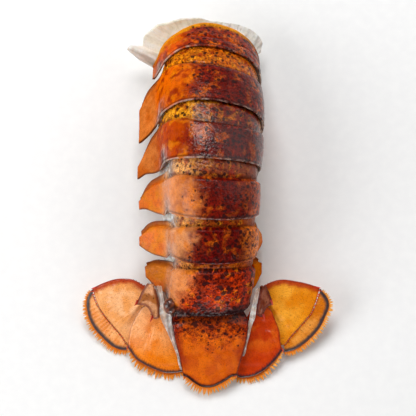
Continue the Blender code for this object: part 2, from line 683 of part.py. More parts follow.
def build():
    clear_scene()
    shell = make_material("shell", (0.48, 0.09, 0.012), 0.3)
    fan = make_material("fan_shell", (0.68, 0.19, 0.015), 0.35)
    bristle = make_material("bristles", (0.62, 0.26, 0.03), 0.6)
    flesh = make_material("flesh", (0.86, 0.76, 0.60), 0.4)
    membrane = make_material("membrane", (0.62, 0.58, 0.54), 0.4)

    for index in range(6):
        build_segment(index, shell)
    build_telson(fan)
    fan_blade("left_endopod", LEFT_ENDOPOD, 0.0, fan, 10, 9)
    fan_blade("right_endopod", RIGHT_ENDOPOD, 0.0, fan, 10, 9)
    fan_blade("left_exopod", LEFT_EXOPOD, EXOPOD_LAYER, fan, 10, 9, bulge=0.5)
    fan_blade("right_exopod", RIGHT_EXOPOD, EXOPOD_LAYER, fan, 10, 9, bulge=0.5)
    build_flap("left_exopod_flap", LEFT_SUTURE, LEFT_RIM, EXOPOD_LAYER, fan)
    build_flap("right_exopod_flap", RIGHT_SUTURE, RIGHT_RIM, EXOPOD_LAYER, fan)
    build_protopod("left_protopod", LEFT_PROTOPOD, shell)
    build_protopod("right_protopod", RIGHT_PROTOPOD, shell)

    def exopod_height(x, y):
        return blade_height(x, y) - EXOPOD_LAYER

    build_fringe("telson_fringe", TELSON[3], 1, 17, [(0, 1.5), (0.2, 4.2), (0.8, 4.0), (1, 1.5)],
                 telson_height, bristle)
    build_fringe("left_endopod_fringe", LEFT_ENDOPOD[3], -1, 15,
                 [(0, 2.0), (0.3, 4.2), (0.7, 4.6), (0.85, 2.5), (1, 0.6)], blade_height, bristle)
    build_fringe("right_endopod_fringe", RIGHT_ENDOPOD[3], 1, 15,
                 [(0, 2.0), (0.3, 4.2), (0.7, 4.0), (0.85, 2.5), (1, 0.6)], blade_height, bristle)
    build_fringe("left_exopod_fringe", LEFT_RIM, 1, 20,
                 [(0, 1.4), (0.2, 2.4), (0.6, 3.0), (0.9, 3.2), (1, 2.6)], exopod_height, bristle)
    build_fringe("right_exopod_fringe", RIGHT_RIM, -1, 20,
                 [(0, 1.4), (0.2, 2.4), (0.6, 3.0), (0.9, 3.0), (1, 1.8)], exopod_height, bristle)

    build_fan_skin("left_fan_skin", LEFT_FAN_SKIN, membrane)
    build_fan_skin("right_fan_skin", RIGHT_FAN_SKIN, membrane)
    build_meat(flesh)
    build_cut_skin(membrane)
    for index in range(1, 5):
        build_hinge_skin(f"left_hinge_skin_{index + 1}", index, -1, membrane)
        build_hinge_skin(f"right_hinge_skin_{index + 1}", index, 1, membrane)
    for index in range(1, 5):
        build_underside_bar(index, membrane)
    for index in range(1, 5):
        build_swimmeret(f"left_swimmeret_{index + 1}", index, -1, fan)
        build_swimmeret(f"right_swimmeret_{index + 1}", index, 1, fan)


build()
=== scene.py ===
"""Frozen lobster tail, seen from above on a plain pale floor.

Every piece is built from the same laid-out curves as the stored solids, in finer
detail.  Lengths are millimetres up to settle(), which turns them into metres.
"""

import math
import random

import bmesh
import bpy
from mathutils import Euler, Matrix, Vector, noise


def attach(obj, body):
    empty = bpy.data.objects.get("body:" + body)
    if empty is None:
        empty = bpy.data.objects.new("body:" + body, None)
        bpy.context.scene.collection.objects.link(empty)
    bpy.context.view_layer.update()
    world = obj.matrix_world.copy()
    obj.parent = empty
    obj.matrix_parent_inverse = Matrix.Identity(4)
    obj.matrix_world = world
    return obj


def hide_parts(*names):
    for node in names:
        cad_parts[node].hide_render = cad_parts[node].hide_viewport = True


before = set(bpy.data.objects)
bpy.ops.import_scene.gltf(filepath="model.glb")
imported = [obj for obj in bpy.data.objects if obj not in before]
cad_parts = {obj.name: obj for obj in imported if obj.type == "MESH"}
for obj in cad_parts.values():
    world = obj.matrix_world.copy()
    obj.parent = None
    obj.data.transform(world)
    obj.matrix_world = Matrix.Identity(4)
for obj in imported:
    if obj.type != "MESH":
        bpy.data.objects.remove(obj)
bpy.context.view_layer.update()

MM = 0.001
PIXEL = 0.42
PHOTO_SIZE = 416
PHOTO_MIDDLE = (208.0, 207.5)

# The arched axis of the hinges: distance along it at the front rim and at the
# rear edge of each of the six segments, and the section of the tail there.
STATIONS = [0.0, 12.0, 37.5, 60.0, 80.0, 96.7, 118.3]
PITCH = [45.0, 42.0, 34.0, 17.0, -1.0, -8.0, -14.0]
ROLL = [18.0, 18.0, 18.0, 17.0, 15.0, 12.0, 4.0]
AXIS_X = [-0.2, 0.1, 1.0, 1.2, 1.6, 1.8, 0.0]
HALF_WIDTH = [22.2, 22.7, 22.8, 21.0, 19.6, 18.8, 17.4]
DOME_HEIGHT = [18.5, 19.5, 20.0, 19.5, 18.5, 16.5, 12.5]
FLANK_LENGTH = [14.0, 15.0, 16.0, 15.5, 15.0, 13.0, 9.0]
FLARE_LEFT = [0.25, 0.25, 0.26, 0.45, 0.55, 0.78, 1.0]
FLARE_RIGHT = [0.25, 0.25, 0.22, 0.30, 0.40, 0.50, 0.7]

HINGE_U = 0.68
SQUARENESS = 0.05
AXIS_STEP = 0.5
AXIS_START = -12.0
AXIS_END = 132.0
AXIS_ANCHOR = (80.0, -4.9, 0.0)

# How the finished tail stands: turned about X and Y, then moved to the origin.
REST_PITCH = math.radians(15.0)
REST_ROLL = math.radians(-1.7)
REST_SHIFT = Vector((-0.47, -5.22, 29.01))

SHELL_THICKNESS = 1.1
BAND_DEPTH = 1.5
GROOVE_DEPTH = 1.75
TUCK_LENGTH = 3.4

BLADE_THICKNESS = 1.2
TELSON_WETNESS = 0.5
BASE_WETNESS = 0.6
BASE_SPOTS = 0.3
TELSON_THICKNESS = 1.3
BASE_THICKNESS = 1.5
PADDLE_THICKNESS = 0.7
SKIN_THICKNESS = 0.5
EXOPOD_LAYER = 2.2
JOINT_GAP = 0.35


# Smooth curves through named values

def track(values, s):
    """Value at distance s of a smooth curve through one value per station."""
    last = len(STATIONS) - 1

    def slope(i):
        low = max(i - 1, 0)
        high = min(i + 1, last)
        return (values[high] - values[low]) / (STATIONS[high] - STATIONS[low])

    if s <= STATIONS[0]:
        return values[0] + slope(0) * (s - STATIONS[0])
    if s >= STATIONS[last]:
        return values[last] + slope(last) * (s - STATIONS[last])
    i = max(k for k in range(last) if STATIONS[k] <= s)
    span = STATIONS[i + 1] - STATIONS[i]
    t = (s - STATIONS[i]) / span
    return hermite(values[i], slope(i) * span, values[i + 1], slope(i + 1) * span, t)


def hermite(start, start_slope, end, end_slope, t):
    t2 = t * t
    t3 = t2 * t
    return ((2 * t3 - 3 * t2 + 1) * start + (t3 - 2 * t2 + t) * start_slope
            + (3 * t2 - 2 * t3) * end + (t3 - t2) * end_slope)


def ease(low, high, value):
    """0 below low, 1 above high, smooth in between."""
    t = min(max((value - low) / (high - low), 0.0), 1.0)
    return t * t * (3 - 2 * t)


def along(knots, value):
    """Straight interpolation through (position, value) pairs."""
    if value <= knots[0][0]:
        return knots[0][1]
    for (x0, y0), (x1, y1) in zip(knots, knots[1:]):
        if value <= x1:
            return y0 + (y1 - y0) * (value - x0) / (x1 - x0)
    return knots[-1][1]


def curve_point(points, t):
    """Point at share t of the length of a smooth curve through plan points."""
    lengths = [0.0]
    for p, q in zip(points, points[1:]):
        lengths.append(lengths[-1] + math.dist(p, q))
    target = t * lengths[-1]
    i = 0
    while i < len(points) - 2 and lengths[i + 1] < target:
        i += 1
    share = (target - lengths[i]) / (lengths[i + 1] - lengths[i])
    before = points[max(i - 1, 0)]
    after = points[min(i + 2, len(points) - 1)]
    result = []
    for axis in range(2):
        p0, p1, p2, p3 = before[axis], points[i][axis], points[i + 1][axis], after[axis]
        result.append(hermite(p1, 0.5 * (p2 - p0), p2, 0.5 * (p3 - p1), share))
    return result


# The body: an arched, rolled sweep of a dome with hanging flanks

def trace_axis():
    """Points (y, z) of the hinge axis at equal steps, anchored near its middle."""
    count = int(round((AXIS_END - AXIS_START) / AXIS_STEP))
    points = [(0.0, 0.0)]
    for i in range(count):
        pitch = math.radians(track(PITCH, AXIS_START + (i + 0.5) * AXIS_STEP))
        y, z = points[-1]
        points.append((y - math.cos(pitch) * AXIS_STEP, z + math.sin(pitch) * AXIS_STEP))
    s_anchor, y_anchor, z_anchor = AXIS_ANCHOR
    y_at, z_at = points[int(round((s_anchor - AXIS_START) / AXIS_STEP))]
    return [(y - y_at + y_anchor, z - z_at + z_anchor) for y, z in points]


AXIS_POINTS = trace_axis()


def axis_at(s):
    f = (s - AXIS_START) / AXIS_STEP
    i = min(max(int(f), 0), len(AXIS_POINTS) - 2)
    t = f - i
    (y0, z0), (y1, z1) = AXIS_POINTS[i], AXIS_POINTS[i + 1]
    return y0 + (y1 - y0) * t, z0 + (z1 - z0) * t


def section(s, u):
    """Point of the cross-section: u is 0 on the back, -1 and 1 at the flank tips."""
    side = -1.0 if u < 0 else 1.0
    m = abs(u)
    half_width = track(HALF_WIDTH, s)
    if m <= HINGE_U:
        angle = m / HINGE_U * math.pi / 2
        swell = 1 + SQUARENESS * math.sin(2 * angle) ** 2
        return (side * half_width * swell * math.sin(angle),
                track(DOME_HEIGHT, s) * swell * math.cos(angle))
    t = (m - HINGE_U) / (1 - HINGE_U)
    length = track(FLANK_LENGTH, s)
    flare = track(FLARE_LEFT if u < 0 else FLARE_RIGHT, s)
    return side * (half_width + length * flare * t * t * (1.6 - 0.6 * t)), -length * t


def place_section(s, across, up):
    """Point of the tail from a place in the cross-section plane at distance s."""
    roll = math.radians(track(ROLL, s))
    pitch = math.radians(track(PITCH, s))
    side = across * math.cos(roll) + up * math.sin(roll)
    rise = up * math.cos(roll) - across * math.sin(roll)
    y, z = axis_at(s)
    return Vector((track(AXIS_X, s) + side, y + rise * math.sin(pitch), z + rise * math.cos(pitch)))


def skin(s, u, lift=0.0):
    """Point of the body's surface, lifted off it along the section's normal."""
    step = 0.004
    across, up = section(s, u)
    a0, b0 = section(s, u - step)
    a1, b1 = section(s, u + step)
    length = math.hypot(a1 - a0, b1 - b0)
    across -= (b1 - b0) / length * lift
    up += (a1 - a0) / length * lift
    return place_section(s, across, up)


def settle(point):
    """From the laid-out tail to the resting tail, in metres."""
    turned = Vector(point)
    turned.rotate(Euler((REST_PITCH, REST_ROLL, 0.0)))
    return (turned + REST_SHIFT) * MM


# For each segment, (u, distance) pairs from the back to the flank tip: the
# front margin from the station in front, the rear margin from its own station.
SEGMENTS = [
    {"front": [(0.0, -4.6), (0.15, -4.2), (0.3, -2.4), (0.45, -0.2), (0.6, 1.8), (0.68, 3.0), (0.80, 4.6)],
     "rear": [(0.0, -1.6), (0.3, -0.9), (0.5, 0.9), (0.68, 1.7), (0.80, 1.2)],
     "groove": [(0.0, 5.2), (0.3, 5.4), (0.5, 5.8), (0.68, 6.4), (0.80, 7.0)],
     "tip": 0.80},
    {"front": [(0.0, 0.0), (0.5, 0.0), (0.68, 2.6), (0.85, 2.0), (0.95, 3.6), (1.0, 8.2)],
     "rear": [(0.0, 0.8), (0.3, 0.8), (0.5, 1.0), (0.6, 0.5), (0.68, 0.1), (0.76, 1.6), (0.88, 3.6), (1.0, 4.6)],
     "groove": [(0.0, 7.4), (0.2, 7.2), (0.5, 4.4), (0.68, 4.6), (0.85, 4.6), (0.95, 6.4), (1.0, 9.8)],
     "tip": 1.0},
    {"front": [(0.0, 0.0), (0.5, 0.0), (0.68, 0.6), (0.80, 2.9), (0.88, 4.4), (0.95, 9.0), (1.0, 15.4)],
     "rear": [(0.0, 0.0), (0.3, -0.4), (0.6, -1.8), (0.68, -2.0), (0.74, -0.2), (0.82, 0.2), (0.93, -0.8),
              (1.0, 1.0)],
     "groove": [(0.0, 8.8), (0.2, 8.4), (0.5, 5.0), (0.68, 3.4), (0.80, 5.2), (0.88, 7.2), (0.95, 11.8),
                (1.0, 16.8)],
     "tip": 1.0},
    {"front": [(0.0, 0.0), (0.5, 0.0), (0.68, 1.0), (0.80, 1.2), (0.90, 2.4), (0.95, 5.2), (1.0, 10.2)],
     "rear": [(0.0, 0.0), (0.3, -0.6), (0.6, -2.6), (0.68, -4.2), (0.72, -1.4), (0.84, -2.6), (0.95, -4.8),
              (1.0, -4.4)],
     "groove": [(0.0, 5.5), (0.2, 5.3), (0.5, 3.8), (0.68, 3.6), (0.80, 4.0), (0.90, 5.2), (0.95, 7.4),
                (1.0, 11.6)],
     "tip": 1.0},
    {"front": [(0.0, 0.0), (0.5, 0.0), (0.68, 1.2), (0.80, 0.4), (0.90, 0.8), (0.96, 2.6), (1.0, 6.0)],
     "rear": [(0.0, 0.0), (0.3, -0.5), (0.6, -2.4), (0.68, -2.6), (0.74, -0.4), (0.88, -1.2), (0.96, -3.0),
              (1.0, -5.0)],
     "groove": [(0.0, 2.2), (0.2, 2.2), (0.5, 2.4), (0.68, 3.0), (0.80, 2.8), (0.90, 3.2), (0.96, 5.2),
                (1.0, 8.0)],
     "tip": 1.0},
    {"front": [(0.0, 0.0), (0.5, 0.0), (0.68, 1.6), (0.80, 1.0), (0.90, 1.2), (0.96, 3.0)],
     "rear": [(0.0, 0.0), (0.3, -0.3), (0.55, -1.4), (0.68, -4.0), (0.76, -6.4), (0.86, -8.0), (0.92, -10.0),
              (0.96, -12.8)],
     "groove": [(0.0, 2.0), (0.2, 2.0), (0.5, 2.4), (0.68, 3.0), (0.80, 2.4), (0.90, 2.6), (0.96, 4.0)],
     "tip": 0.96},
]


# Tail fan

def blade_height(x, y):
    """Height of the side blades' upper face, falling to the rear and outward."""
    reach = max(abs(x) - 15.0, 0.0)
    return -4.0 + 0.23 * (y + 46.0) - 0.0035 * reach * reach


def telson_height(x, y):
    """Height of the telson: domed where it meets the sixth segment, then flatter."""
    dome = 0.0080 + 0.013 * ease(-54.0, -43.0, y)
    hinge_dip = 1.9 * ease(-49.5, -45.0, y)
    return 4.6 + 0.36 * (y + 45.0) - dome * x * x - hinge_dip


# Edge curves of the left and right blades and of the telson, in plan.  Inner and
# outer edges run from the body to the tip, ends from the inner to the outer edge.
LEFT_EXOPOD = (
    [(-23.9, -39.7), (-26.0, -45.6), (-28.6, -51.4), (-31.5, -56.1)],
    [(-25.2, -34.2), (-27.3, -32.8), (-31.5, -30.4), (-35.3, -29.9), (-39.5, -30.2), (-44.1, -31.7),
     (-49.1, -34.0)],
    [(-23.9, -39.7), (-25.2, -34.2)],
    [(-31.5, -56.1), (-34.2, -58.0), (-37.0, -54.0), (-40.5, -49.8), (-43.3, -46.4), (-47.0, -40.9),
     (-49.1, -34.0)],
)
RIGHT_EXOPOD = (
    [(21.8, -39.7), (23.5, -45.6), (25.6, -51.4), (28.6, -56.1)],
    [(22.7, -34.2), (24.1, -32.7), (27.9, -30.9), (31.7, -30.3), (36.5, -30.9), (41.8, -32.0),
     (47.5, -33.8)],
    [(21.8, -39.7), (22.7, -34.2)],
    [(28.6, -56.1), (32.2, -58.4), (35.7, -54.0), (39.5, -49.8), (44.4, -43.5), (47.5, -33.8)],
)
LEFT_SUTURE = [(-49.2, -34.6), (-47.0, -40.9), (-43.3, -46.4), (-40.5, -49.8), (-37.0, -54.0),
               (-34.3, -58.2)]
LEFT_RIM = [(-49.9, -35.4), (-51.4, -38.4), (-51.7, -42.1), (-50.6, -47.1), (-48.3, -51.4),
            (-44.9, -55.2), (-41.2, -58.6), (-37.6, -60.3), (-34.4, -60.6)]
RIGHT_SUTURE = [(47.6, -34.4), (44.4, -43.5), (39.5, -49.8), (35.7, -54.0), (32.3, -58.6)]
RIGHT_RIM = [(48.4, -35.2), (50.8, -38.4), (51.5, -41.8), (50.0, -46.0), (47.5, -51.0),
             (43.7, -55.4), (38.1, -59.8), (32.6, -61.6)]
LEFT_ENDOPOD = (
    [(-17.4, -43.2), (-13.4, -49.4), (-11.0, -55.6), (-9.6, -61.9), (-9.2, -68.7)],
    [(-24.4, -40.1), (-28.1, -42.2), (-30.8, -46.4), (-32.6, -50.2), (-33.5, -54.0), (-34.2, -59.4)],
    [(-17.4, -43.2), (-24.4, -40.1)],
    [(-9.2, -68.7), (-11.8, -69.9), (-17.2, -70.3), (-21.0, -69.3), (-24.9, -67.7), (-27.9, -66.1),
     (-30.8, -64.0), (-34.2, -59.4)],
)
RIGHT_ENDOPOD = (
    [(18.4, -42.9), (14.6, -49.4), (12.0, -55.6), (10.6, -61.9), (10.5, -69.9)],
    [(22.7, -40.1), (26.5, -43.0), (28.6, -47.7), (30.2, -51.9), (30.9, -57.8), (31.7, -60.7)],
    [(18.4, -42.9), (22.7, -40.1)],
    [(10.5, -69.9), (12.6, -72.0), (15.5, -72.3), (19.3, -71.6), (23.1, -69.7), (27.9, -65.6),
     (31.7, -60.7)],
)
TELSON = (
    [(-14.2, -42.6), (-15.4, -47.0), (-15.0, -50.0), (-14.1, -55.2), (-12.9, -59.8),
     (-11.8, -64.9), (-10.5, -71.2)],
    [(14.6, -42.6), (16.8, -47.0), (17.0, -50.0), (16.4, -55.6), (15.1, -60.7), (13.8, -65.3),
     (12.2, -71.2)],
    [(-14.2, -42.6), (14.6, -42.6)],
    [(-10.5, -71.2), (-8.7, -72.0), (-6.3, -73.9), (-3.4, -75.6), (-0.4, -76.2), (2.5, -75.8),
     (5.5, -74.4), (8.4, -72.7), (10.1, -71.6), (12.2, -71.2)],
)
LEFT_PROTOPOD = (
    [(-22.0, -34.4), (-20.6, -40.5), (-20.6, -46.4)],
    [(-25.6, -31.7), (-28.1, -35.5), (-30.5, -40.9)],
    [(-22.0, -34.4), (-23.8, -32.8), (-25.6, -31.7)],
    [(-20.6, -46.4), (-22.9, -46.9), (-24.6, -43.6), (-26.6, -41.4), (-30.5, -40.9)],
)
RIGHT_PROTOPOD = (
    [(21.9, -34.6), (20.9, -40.5), (20.5, -45.4)],
    [(24.6, -32.7), (26.2, -36.5), (27.6, -40.8)],
    [(21.9, -34.6), (23.2, -33.4), (24.6, -32.7)],
    [(20.5, -45.4), (22.9, -46.2), (24.0, -43.8), (25.2, -41.8), (27.6, -40.8)],
)
LEFT_FAN_SKIN = (
    [(-19.6, -33.0), (-18.8, -39.6), (-17.4, -43.6), (-15.6, -48.0), (-14.0, -54.8), (-12.2, -61.5),
     (-10.7, -68.7)],
    [(-21.4, -33.0), (-20.1, -39.6), (-20.0, -43.6), (-18.7, -48.0), (-16.2, -54.8), (-13.6, -61.5),
     (-11.4, -68.7)],
)
RIGHT_FAN_SKIN = (
    [(20.2, -34.0), (19.2, -40.4), (18.6, -43.4), (17.8, -47.0), (16.8, -51.4), (15.5, -57.8),
     (14.4, -62.8)],
    [(21.8, -34.0), (20.4, -40.4), (20.0, -43.4), (19.3, -47.0), (18.1, -51.4), (16.5, -57.8),
     (15.0, -62.8)],
)

# The skin pulled out of the cut end: (u, reach past the rim, outward lean).
CUT_SKIN = [
    (-0.84, 1.5, 9.0), (-0.80, 2.2, 16.6), (-0.75, 3.4, 15.4), (-0.70, 3.6, 9.6), (-0.62, 3.6, 10.8),
    (-0.50, 1.7, 10.2), (-0.38, 1.5, 7.0), (-0.24, 1.5, 3.6), (-0.08, 2.0, 1.6), (0.08, 2.8, 1.6),
    (0.22, 5.0, 3.2), (0.34, 6.4, 4.2), (0.44, 6.6, 5.0), (0.50, 5.0, 3.4),
]
CUT_SKIN_TUCK = 2.6
CUT_SKIN_STANDOFF = 0.7
MEAT_LIFT = -5.1
MEAT_U = 0.74
MEAT_FRONT = -1.5
MEAT_REAR = 108.0
MEAT_TOP_SHARE = 0.62
MEAT_SHRINK = 1 + MEAT_LIFT / 20.5
FRONT_SAG = 9.0


def meat_outline(s, turn):
    """Point of the meat's closed section, once round from the left edge."""
    if turn <= MEAT_TOP_SHARE:
        u = MEAT_U * (2 * turn / MEAT_TOP_SHARE - 1)
        across, up = section(s, u)
        return across * MEAT_SHRINK, up * MEAT_SHRINK
    return belly(s, 1 - (turn - MEAT_TOP_SHARE) / (1 - MEAT_TOP_SHARE))


def belly(s, share):
    """Underside of the meat, from its left edge to its right; it sags near the cut."""
    left, low = section(s, -MEAT_U)
    right, low_right = section(s, MEAT_U)
    sag = 2.2 + FRONT_SAG * (1 - ease(12.0, 50.0, s))
    across = (left + (right - left) * share) * MEAT_SHRINK
    up = (low + (low_right - low) * share) * MEAT_SHRINK
    return across, up - sag * math.sin(math.pi * share) ** 0.7


# Detail of the finished surface

# Columns and rows of the fine sheets, and steps round and along the closed forms.
SHELL_COLUMNS = 150
BAND_ROWS = 16
MAIN_ROWS = 44
BLADE_GRID = (110, 100)
FLAP_GRID = (130, 26)
TELSON_GRID = (130, 130)
BASE_GRID = (70, 80)
FAN_SKIN_GRID = (24, 120)
CUT_SKIN_GRID = (260, 44)
HINGE_SKIN_GRID = (36, 40)
PADDLE_GRID = (24, 40)
MEAT_GRID = (120, 90)
KNOB_GRID = (40, 16)
BAR_GRID = (20, 60)
CURVE_SAMPLES = 60

FOOT_HEIGHT = 1.25
FIRST_MAIN_SHARE = 0.12
MARGIN_BLUR = 0.012
SEED = 11


def srgb(code):
    """Linear colour from a hex code."""
    parts = [int(code[i:i + 2], 16) / 255 for i in (1, 3, 5)]
    return tuple(c / 12.92 if c <= 0.04045 else ((c + 0.055) / 1.055) ** 2.4 for c in parts)


def mix(a, b, t):
    return tuple(x + (y - x) * t for x, y in zip(a, b))


def cloudy_mix(first, second, low, high, value):
    """Blend of two hex codes as a value goes from low to high."""
    return mix(srgb(first), srgb(second), ease(low, high, value))


def layered(tint, *layers):
    """Colour after (colour, share) layers are laid over it, first to last."""
    for colour, share in layers:
        tint = mix(tint, colour, share)
    return tint


def wave_noise(point, size, octaves=2, offset=0.0):
    """Smooth noise, about -1 to 1, with features of a size in mm; the offset picks the pattern."""
    p = Vector(point) / size + Vector((offset, 2.0 * offset, -offset))
    return noise.fractal(p, 0.9, 2.1, octaves, noise_basis="PERLIN_ORIGINAL")


def bump_at(value, centre, width):
    """1 at the centre, falling to 0 on both sides."""
    return math.exp(-((value - centre) / width) ** 2)


YELLOW = srgb("#EE9C16")
AMBER = srgb("#E27E08")
ORANGE = srgb("#E06A0C")
RUST = srgb("#9C2E06")
RED = srgb("#8E1C08")
DEEP_RED = srgb("#560C05")
BROWN = srgb("#7E3E1E")
SLATE = srgb("#5C5250")
# Pale rear lip: partly the edge's own grey, partly a painted highlight on the wet edge.
LIP_GREY = srgb("#C0B4A6")
FIBRE = srgb("#CFC8C2")
DARK = srgb("#1C0A0C")


def colour_rows(*rows):
    """Rows of colours from strings of hex codes."""
    return [tuple(srgb(code) for code in row.split()) for row in rows]


# Left flank, back and right flank of each segment. The brown right colours of the first three segments are
# partly painted grey-brown sheen over the red shell, and the pale left colours of segments 4 to 6 are partly
# painted pink sheen.
SEGMENT_COLOURS = colour_rows(
    "#E25804 #962A04 #74381A",
    "#E06404 #7E1604 #743418",
    "#BE4602 #580C04 #6C2C12",
    "#DE8440 #701005 #A84412",
    "#E09050 #680402 #F08218",
    "#E08C4C #BC3402 #A82A02",
)
# Left, middle and right of the band in front of each groove. The pale greyish right colours of the front bands
# are partly painted sheen, and the pale left colours of the last three bands are partly painted pink sheen.
BAND_COLOURS = colour_rows(
    "#F0A018 #C86C10 #7A4A2C",
    "#D88210 #CC660C #BC8660",
    "#F2A420 #6C1A02 #EEB080",
    "#E8A860 #843A1C #8A4824",
    "#E4A050 #A8480E #8A5030",
    "#D88A40 #A8480E #7E4A2C",
)
SPOT_DENSITY = [0.80, 0.85, 0.78, 0.72, 0.78, 1.0]


# Segments in fine detail

def smooth_along(knots, m):
    """The margin curve with its corners rounded off."""
    values = [along(knots, abs(m + k * MARGIN_BLUR)) for k in (-2, -1, 0, 1, 2)]
    return sum(values) / len(values)


def segment_margins(index, u):
    spec = SEGMENTS[index]
    m = abs(u)
    station = STATIONS[index]
    tuck = TUCK_LENGTH * (1 - ease(0.5, 0.68, m)) if index else 0.0
    front = station + smooth_along(spec["front"], m) - tuck
    groove = station + smooth_along(spec["groove"], m)
    rear = STATIONS[index + 1] + smooth_along(spec["rear"], m)
    return front, groove, rear


def shell_lift(index, u, behind, share, to_rear, from_front):
    """Height of the shell over the smooth body: band, groove, main part and lip."""
    m = abs(u)
    band = 0.0 if index == 0 else -BAND_DEPTH
    dip = 0.15 if index == 0 else GROOVE_DEPTH
    height = 0.15 if index == 0 else 0.5
    crown = height * math.sin(math.pi * min(share, 1.0)) * (1 - ease(0.5, 0.75, m)) - 0.1
    if behind < 0:
        lift = band + (-dip - band) * ease(-1.0, 0.0, behind) - 0.12 * bump_at(behind, 0.0, 0.5)
    else:
        rise = ease(0.0, FIRST_MAIN_SHARE, share)
        lift = -dip + (crown + dip) * rise - 0.12 * bump_at(behind, 0.0, 0.5) * (1 - rise)
    lift += 0.14 * ease(1.6, 0.5, to_rear) * (1 - ease(0.8, 0.95, m))
    lift -= 0.30 * ease(0.35, 0.0, to_rear) ** 2
    if index == 0:
        lift += 0.30 * bump_at(from_front, 1.1, 0.8) - 0.35 * ease(0.5, 0.0, from_front)
    return lift


def three_way(colours, position, first, second):
    """Blend from left to middle to right round the two given places."""
    left, middle, right = colours
    return mix(mix(left, middle, ease(*first, position)), right, ease(*second, position))


LEFT_ZONE = (-0.46, -0.14)
FLANK_ZONE = (0.70, 0.80)


def shell_tint(index, u, point, behind, to_rear, from_front):
    """Base colour and share of spots at one place of a segment."""
    drift = 0.10 * wave_noise(point, 9.0, 3, index) + 0.05 * wave_noise(point, 3.0, 2, 5)
    v = u + drift
    in_front = index < 3
    right_zone = (0.30, 0.56) if in_front else (0.14, 0.40)
    on_back = ease(*LEFT_ZONE, v)
    on_right = ease(*right_zone, v)
    flank = ease(*FLANK_ZONE, abs(u))
    blotch = wave_noise(point, 5.0, 3, 20 + index)
    streak = wave_noise((point[0], 0.5 * point[1], point[2]), 2.4, 3, 33 + index)
    dapple = ease(0.10, 0.42, wave_noise(point, 3.4, 3, 57)) * (1 - on_right) * (1 - 0.5 * on_back)
    saddle = bump_at(u, 0.14, 0.18) * ease(0.0, 3.0, behind)
    # Painted grey sheen: grey patches over the right side of the front segments.
    right_grey_sheen = ease(0.12, 0.5, wave_noise(point, 4.0, 3, 71)) * ease(0.24, 0.50, v) * (index < 4)
    light, light_share = (AMBER, 1.6) if index == 5 else (ORANGE, 1.5 if index < 2 else 0.8)
    tint = layered(
        three_way(SEGMENT_COLOURS[index], v, LEFT_ZONE, right_zone),
        (AMBER, 0.75 * ease(0.05, 0.45, blotch) * (1 - 0.75 * on_back) * (1 - on_right)),
        (DEEP_RED, 0.75 * ease(0.0, 0.5, -blotch) * on_back * (1 - 0.8 * on_right)),
        (RUST, (0.6 if in_front else 0.3) * ease(0.05, 0.45, streak) * on_back * (1 - on_right)),
        (light, 0.5 * ease(0.15, 0.5, blotch) * on_back * light_share),
        (RED, 0.8 * dapple * (1.0 if in_front else 0.25) * (1 - flank)),
        (DEEP_RED, 0.5 * saddle * (0.0 if index in (0, 5) else 1.0)),
        (SLATE, (0.45 if in_front else 0.22) * right_grey_sheen),
    )
    spots = SPOT_DENSITY[index] * (0.20 + 0.80 * on_back)
    if index:
        wander = 0.5 * wave_noise(point, 2.5, 2, 8)
        in_band = ease(0.5, -0.5, behind + wander) * (1 - ease(0.7, 0.8, abs(u)))
        dark_line = bump_at(behind, -0.1, 0.40) * (1 - ease(0.72, 0.85, abs(u)))
        tint = layered(tint, (band_tint(index, v, point, on_right), in_band),
                       (DARK, (0.30 + 0.35 * ease(-0.1, 0.3, streak)) * dark_line))
        # Fewer spots on the right of the band lighten it along with its painted sheen.
        spots += (0.72 - 0.35 * on_right - spots) * in_band
    else:
        rim = ease(3.4, 1.0, from_front + 0.9 * wave_noise(point, 3.0, 2, 3))
        tint = mix(tint, mix(YELLOW, BROWN, ease(0.15, 0.45, u)), rim)
        spots *= 1 - 0.6 * rim
    tint = layered(
        tint,
        (flank_tint(point, in_front), flank * (0.9 if u < 0 else 0.7)),
        (DARK, 0.75 * flank * ease(1.0, 0.15, min(to_rear, from_front))),
        (BROWN, 0.7 * flank * ease(3.6, 0.8, from_front)),
    )
    spots *= 1 - 0.85 * flank
    tint, spots = hinge_tint(index, u, point, behind, to_rear, blotch, tint, spots)
    warm = wave_noise(point, 14.0, 2, 40)
    tint = tuple(c * (1 + 0.16 * warm) for c in tint)
    return rear_margin_tint(index, u, point, to_rear, 1 - flank, tint), max(spots, 0.0)


def band_tint(index, v, point, on_right):
    """Colour of the paler band in front of the groove."""
    tint = three_way(BAND_COLOURS[index], v, (-0.42, -0.05), (0.28, 0.52))
    reddish = ease(0.0, 0.45, wave_noise(point, 3.2, 3, 50 + index))
    sunny = ease(0.1, 0.5, wave_noise(point, 2.2, 3, 90)) * (1 - on_right)
    return layered(tint, (RED, (0.75 - 0.5 * on_right) * reddish),
                   (YELLOW, (0.6 if index in (1, 4) else 0.3) * sunny))


def flank_tint(point, in_front):
    pair = (srgb("#D47832"), srgb("#C4601A")) if in_front else (AMBER, ORANGE)
    return mix(*pair, ease(-0.2, 0.45, wave_noise(point, 5.0, 2, 14)))


def hinge_tint(index, u, point, behind, to_rear, blotch, tint, spots):
    """Pale fibrous patches where the flanks hang from the back."""
    width = 0.085 if u < 0 else 0.050
    hinge = bump_at(abs(u), 0.65, width) * ease(8.5, 2.5, to_rear) * ease(-0.3, 0.3, blotch + 0.4)
    fibres = ease(-0.1, 0.4, wave_noise((point[0], 0.4 * point[1], point[2]), 1.2, 3, 48))
    ground = SLATE if index < 3 else srgb("#A08C80")
    tint = mix(tint, mix(ground, FIBRE, 0.8 * fibres), 0.85 * hinge * (0.4 if index == 5 else 1.0))
    if index > 2:
        fore = bump_at(u, -0.60, 0.08) * ease(1.8, -0.8, behind + wave_noise(point, 2.0, 2, 49))
        tint = mix(tint, mix(SLATE, FIBRE, fibres), 0.85 * fore)
        spots *= 1 - fore
    return tint, spots


